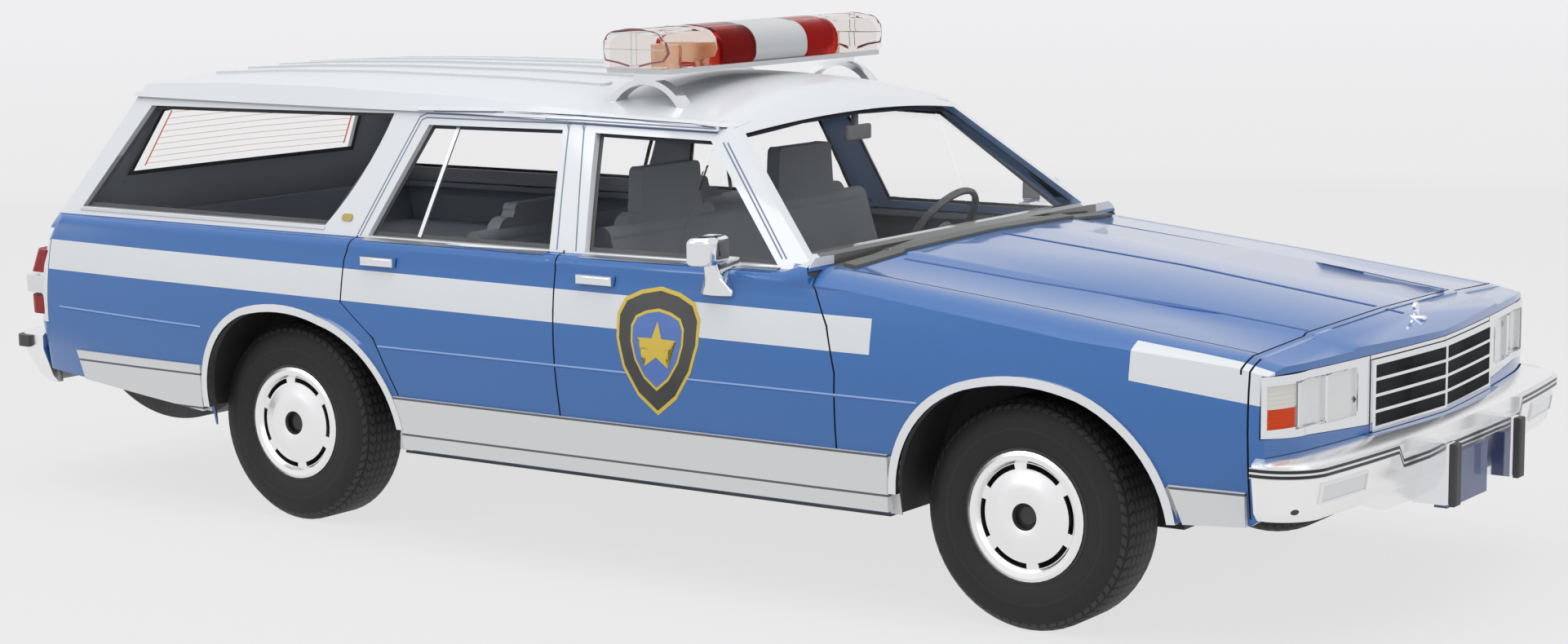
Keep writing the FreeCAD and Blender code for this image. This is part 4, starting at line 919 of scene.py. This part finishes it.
def makeNoseBits(sideName, sign):
    v = noseValues
    build = bmesh.new()
    lamp = [(sign * a, b) for a, b in v["lamp"]]
    rim = ribbon(lamp, v["lampFrame"], 0.0, True)
    layFlat(build, "front", bumperTree, outlines=[lamp], lift=-0.05, thickness=0.2, pitch=1.5)
    layFlat(build, "front", bumperTree, [rim], lift=-0.05, thickness=0.4, materialIndex=1)
    finishPiece(build, "bumperLamp" + sideName, "car",
                ["flutedLampSilver", "brightPlating"], 40)
    build = bmesh.new()
    midY, midZ = v["screwAt"]
    radius = v["screwRadius"]
    head = []
    for number in range(12):
        turn = number * math.pi / 6
        head.append((sign * midY + radius * math.cos(turn), midZ + radius * math.sin(turn)))
    layFlat(build, "front", bumperTree, outlines=[head], lift=-0.03, thickness=0.08)
    finishPiece(build, "bumperScrew" + sideName, "car", ["grilleShade"], 40)
    build = bmesh.new()
    # painted shade: a grey rim round each lens
    edges = []
    for lensName in ("lens", "outerLens"):
        edges.append(ribbon([(sign * a, b) for a, b in v[lensName]], v["lensEdge"], 0.0, True))
    # painted shade: a dark strip in the slot between the inner lamp and the grille
    slot = ribbon([(sign * a, b) for a, b in v["slot"]], v["slotWidth"])
    layFlat(build, "front", lampTree, edges, thickness=0.1)
    layFlat(build, "front", lampTree, [slot], thickness=0.04, materialIndex=1)
    finishPiece(build, "lensRimShades" + sideName, "car", ["lensRimShade", "grilleShade"], 40)


for sideName, viewName, sign in reversed(bothSides):
    makeNoseBits(sideName, sign)

# the blue valance that shows between the grille and the bumper's front edge, in mm
valanceValues = {"reach": 27, "step": 3, "ahead": 1.0, "width": 1.5}
steps = range(-valanceValues["reach"], valanceValues["reach"] + 1, valanceValues["step"])
valance = [(grilleFrontAt(y) + valanceValues["ahead"], y) for y in steps]
build = bmesh.new()
layFlat(build, "top", bumperTree, [ribbon(valance, valanceValues["width"])], thickness=0.06)
finishPiece(build, "noseValance", "car", ["livery"], 40)

# the lower lip of the front bumper, which deepens towards the guards, in mm
apronValues = {"reach": 38, "step": 2, "top": 26.6, "overlap": 0.3, "inset": 0.35, "deepTo": 27.0,
               "lowMiddle": 21.9, "lowEnd": 25.4, "tuck": 0.9, "wall": 0.6}


def makeBumperApron():
    v = apronValues
    build = bmesh.new()
    frontEdge = []
    for y in range(-v["reach"], v["reach"] + 1, v["step"]):
        hit = bumperTree.ray_cast(Vector((200.0, y, v["top"] + v["overlap"])), Vector((-1, 0, 0)))[0]
        frontEdge.append(build.verts.new((hit.x - v["inset"], y, v["top"])))
    edges = [build.edges.new(pair) for pair in zip(frontEdge, frontEdge[1:])]
    made = bmesh.ops.extrude_edge_only(build, edges=edges)["geom"]
    for vert in made:
        if isinstance(vert, bmesh.types.BMVert):
            share = max(0.0, (abs(vert.co.y) - v["deepTo"]) / (v["reach"] - v["deepTo"]))
            vert.co.z = v["lowMiddle"] + (v["lowEnd"] - v["lowMiddle"]) * share
            vert.co.x -= v["tuck"]
    bmesh.ops.recalc_face_normals(build, faces=build.faces[:])
    bmesh.ops.solidify(build, geom=build.faces[:], thickness=v["wall"])
    finishPiece(build, "bumperApron", "car", ["softPlating"], 34)


makeBumperApron()

# the mirror inside, hung behind the glass: x counts from the glass, all in mm
mirrorValues = {
    "glassHeight": 76.0,
    # columns: low corner, high corner, rounding
    "blocks": (((-5.0, -4.0, 74.4), (-3.9, 4.0, 77.2), 0.35), ((-5.6, -0.6, 76.8), (-4.6, 0.6, 79.6), 0.2)),
}
glassAt = screenTree.ray_cast(Vector((200.0, 0.0, mirrorValues["glassHeight"])), Vector((-1, 0, 0)))[0]
behindGlass = Vector((glassAt.x, 0.0, 0.0))
build = bmesh.new()
for low, high, softened in mirrorValues["blocks"]:
    addBlock(build, behindGlass + Vector(low), behindGlass + Vector(high), softened)
finishPiece(build, "insideMirror", "car", ["dashPlastic"], 40)

# the small plain ornament on the nose: z counts from the bonnet, all in mm
ornamentValues = {
    "x": 136.8,
    "blocks": (((135.0, -0.8, -0.4), (138.0, 0.8, 0.5), 0.35),
               ((135.7, -0.3, 0.2), (136.7, 0.3, 1.4), 0.15)),
    "discAt": (136.2, 0.0, 1.9),
    "discRadius": 0.85,
    "discDepth": 0.5,
}


def makeNoseOrnament():
    v = ornamentValues
    bonnetAt = bodyTree.ray_cast(Vector((v["x"], 0.0, 100.0)), Vector((0, 0, -1)))[0]
    onBonnet = Vector((0.0, 0.0, bonnetAt.z))
    build = bmesh.new()
    for low, high, softened in v["blocks"]:
        addBlock(build, onBonnet + Vector(low), onBonnet + Vector(high), softened)
    made = bmesh.ops.create_cone(build, cap_ends=True, segments=20, radius1=v["discRadius"],
                                 radius2=v["discRadius"], depth=v["discDepth"])["verts"]
    bmesh.ops.rotate(build, verts=made, cent=(0, 0, 0), matrix=Matrix.Rotation(math.pi / 2, 3, "Y"))
    bmesh.ops.translate(build, verts=made, vec=onBonnet + Vector(v["discAt"]))
    finishPiece(build, "noseFin", "car", ["brightPlating"], 40)


makeNoseOrnament()
print("nose details made")

# rims, pressed lines and inner walls of the light bar's lenses, as x, z points in mm
domeValues = {
    "rim": ((1.5, 89.6), (4.2, 90.2), (7.0, 90.6), (7.8, 92.0), (7.4, 94.2), (6.0, 95.6), (3.6, 96.1),
            (0.4, 96.15), (-2.8, 96.1), (-5.2, 95.6), (-6.6, 94.2), (-7.0, 92.0), (-6.2, 90.6), (-3.4, 90.2),
            (-0.7, 89.6)),
    "rimWidth": 0.32,
    "lines": (((-0.2, 89.8), (-0.2, 96.0)), ((1.0, 89.8), (1.0, 96.0)), ((-6.6, 92.6), (7.2, 92.6))),
    "lineWidth": 0.16,
    "middle": (0.4, 92.9),
    "wallShare": 0.88,       # the inner wall is this much smaller than the rim, sideways and upwards
    # columns: y of its two faces, its top
    "walls": ((19.02, 19.25, 96.0), (19.3, 19.4, 93.2)),
}


def makeLensWalls(sideName, sign):
    # a pale wall between the red and the clear lens, so that the red does not show through the clear end,
    # and a copper plate on its lower half as a painted reflection of the copper lamp
    v = domeValues
    midX, midZ = v["middle"]
    build = bmesh.new()
    for material, (fromY, toY, top) in enumerate(v["walls"]):
        outline = []
        for x, z in v["rim"]:
            shrunk = z if z < midZ else midZ + (z - midZ) * v["wallShare"]
            outline.append((midX + (x - midX) * v["wallShare"], min(shrunk, top)))
        plate = build.faces.new([build.verts.new((x, sign * fromY, z)) for x, z in outline])
        plate.material_index = material
        made = bmesh.ops.extrude_face_region(build, geom=[plate], use_keep_orig=True)["geom"]
        moved = [vert for vert in made if isinstance(vert, bmesh.types.BMVert)]
        bmesh.ops.translate(build, verts=moved, vec=(0.0, sign * (toY - fromY), 0.0))
    finishPiece(build, "lensWall" + sideName, "car", ["reflectorWhite", "copperPlating"])


domeTree = toTree(copies["clearDomes"])
for sideName, viewName, sign in bothSides:
    v = domeValues
    build = bmesh.new()
    lines = [ribbon(path, v["lineWidth"]) for path in v["lines"]]
    layFlat(build, viewName, domeTree, [ribbon(v["rim"], v["rimWidth"])], thickness=0.1)
    layFlat(build, viewName, domeTree, lines, thickness=0.05, materialIndex=1)
    finishPiece(build, "domeRim" + sideName, "car", ["domeRim", "speakerGrey"], 40)
    makeLensWalls(sideName, sign)
print("light bar trimmed")

# camera, floor and lights
cameraValues = {
    "place": (329.65, -461.10, 122.20),   # mm
    "azimuth": 34.908,                    # degrees
    "elevation": 8.578,
    "roll": -0.653,
    "lens": 68.15,                        # mm
    "sensor": 36.0,
    "shiftY": 0.0048,
    "nearest": 0.01,                      # m
}


def makeCamera():
    v = cameraValues
    azimuth, elevation, roll = [math.radians(v[name]) for name in ("azimuth", "elevation", "roll")]
    back = Vector((math.sin(azimuth) * math.cos(elevation), -math.cos(azimuth) * math.cos(elevation),
                   math.sin(elevation)))
    right = Vector((0, 0, 1)).cross(back).normalized()
    up = back.cross(right)
    turnedRight = math.cos(roll) * right + math.sin(roll) * up
    turnedUp = math.cos(roll) * up - math.sin(roll) * right
    data = bpy.data.cameras.new("studioCamera")
    data.lens = v["lens"]
    data.sensor_width = v["sensor"]
    data.shift_y = v["shiftY"]
    data.clip_start = v["nearest"]
    camera = bpy.data.objects.new("studioCamera", data)
    bpy.context.scene.collection.objects.link(camera)
    turn = Matrix((turnedRight, turnedUp, back)).transposed().to_4x4()
    camera.matrix_world = Matrix.Translation(Vector(v["place"]) * mm) @ turn
    bpy.context.scene.camera = camera


makeCamera()
print("camera made")

studioValues = {
    "background": "EFEFF1",
    "ambientColour": "F5F5F4",
    "ambient": 0.62,
    "floor": "D9D9DA",
    "roughness": 0.9,
    "shine": 0.1,
    "reach": 6.0,          # m
    "fadeStart": 0.28,     # m from the middle, where the floor starts to turn into the background
    "fadeEnd": 0.75,
    # painted shade: the floor's glow is a little darker near the car, for the soft shade round it
    "nearGlow": "EBEBEC",
    "glowEnd": 2.2,        # m, where the floor has the background's tone
    "selfLit": 0.86,       # the sweep is lit from behind, which leaves only a faint shadow
}
# columns: name, place in m, size in m, power in W
lampTable = (
    ("overheadLamp", (0.10, -0.15, 0.95), 0.9, 5.6),
    ("keyLamp", (-0.45, -0.95, 0.75), 0.6, 3.6),
    ("noseLamp", (1.00, -0.35, 0.55), 0.5, 2.2),
)


def makeFloor():
    # matt paper sweep, lit from behind: a white that runs into the background, with a little painted shade
    # near the car
    v = studioValues
    mesh = bpy.data.meshes.new("studioFloor")
    build = bmesh.new()
    bmesh.ops.create_grid(build, x_segments=1, y_segments=1, size=v["reach"])
    build.to_mesh(mesh)
    build.free()
    floor = bpy.data.objects.new("studioFloor", mesh)
    bpy.context.scene.collection.objects.link(floor)
    material, tree, shader = newMaterial("paperSweep", {
        "Base Color": v["floor"], "Roughness": v["roughness"], "Specular IOR Level": v["shine"]})
    coords = addNode(tree, "TexCoord")
    away = addNode(tree, "VectorMath", "LENGTH", coords.outputs["Object"])
    smooth = {"interpolation_type": "SMOOTHSTEP"}
    fade = addNode(tree, "MapRange", smooth, away, v["fadeStart"], v["fadeEnd"])
    distance = addNode(tree, "MapRange", smooth, away, v["fadeEnd"], v["glowEnd"])
    tint = addNode(tree, "Mix", {"data_type": "RGBA"}, distance, v["nearGlow"], v["background"])
    glow = addNode(tree, "Emission", {"Color": tint})
    share = addNode(tree, "Math", "MAXIMUM", fade, v["selfLit"])
    blend = addNode(tree, "MixShader", {}, share, shader, glow)
    output = next(node for node in tree.nodes if node.type == "OUTPUT_MATERIAL")
    setInput(tree, output.inputs["Surface"], blend)
    mesh.materials.append(material)


def makeWorld():
    # soft light from all round; the camera and the reflections see the plain background instead
    v = studioValues
    world = bpy.data.worlds.new("studio")
    world.use_nodes = True
    tree = world.node_tree
    ambient = tree.nodes["Background"]
    setInput(tree, ambient.inputs["Color"], v["ambientColour"])
    setInput(tree, ambient.inputs["Strength"], v["ambient"])
    seen = addNode(tree, "Background", {"Color": v["background"], "Strength": 1.0})
    rays = addNode(tree, "LightPath")
    mirrored = rays.outputs["Is Glossy Ray"]
    through = rays.outputs["Is Transmission Ray"]
    bent = addNode(tree, "Math", "MAXIMUM", mirrored, through)
    direct = addNode(tree, "Math", "MAXIMUM", rays.outputs["Is Camera Ray"], bent)
    blend = addNode(tree, "MixShader", {}, direct, ambient, seen)
    output = next(node for node in tree.nodes if node.type == "OUTPUT_WORLD")
    setInput(tree, output.inputs["Surface"], blend)
    bpy.context.scene.world = world


def makeLamps():
    for name, place, size, power in lampTable:
        data = bpy.data.lights.new(name, "AREA")
        data.size = size
        data.energy = power
        lamp = bpy.data.objects.new(name, data)
        bpy.context.scene.collection.objects.link(lamp)
        lamp.location = place
        lamp.rotation_euler = (-Vector(place)).to_track_quat("-Z", "Y").to_euler()


makeFloor()
makeWorld()
makeLamps()
bpy.context.scene.view_settings.view_transform = "Standard"
print("stage made")
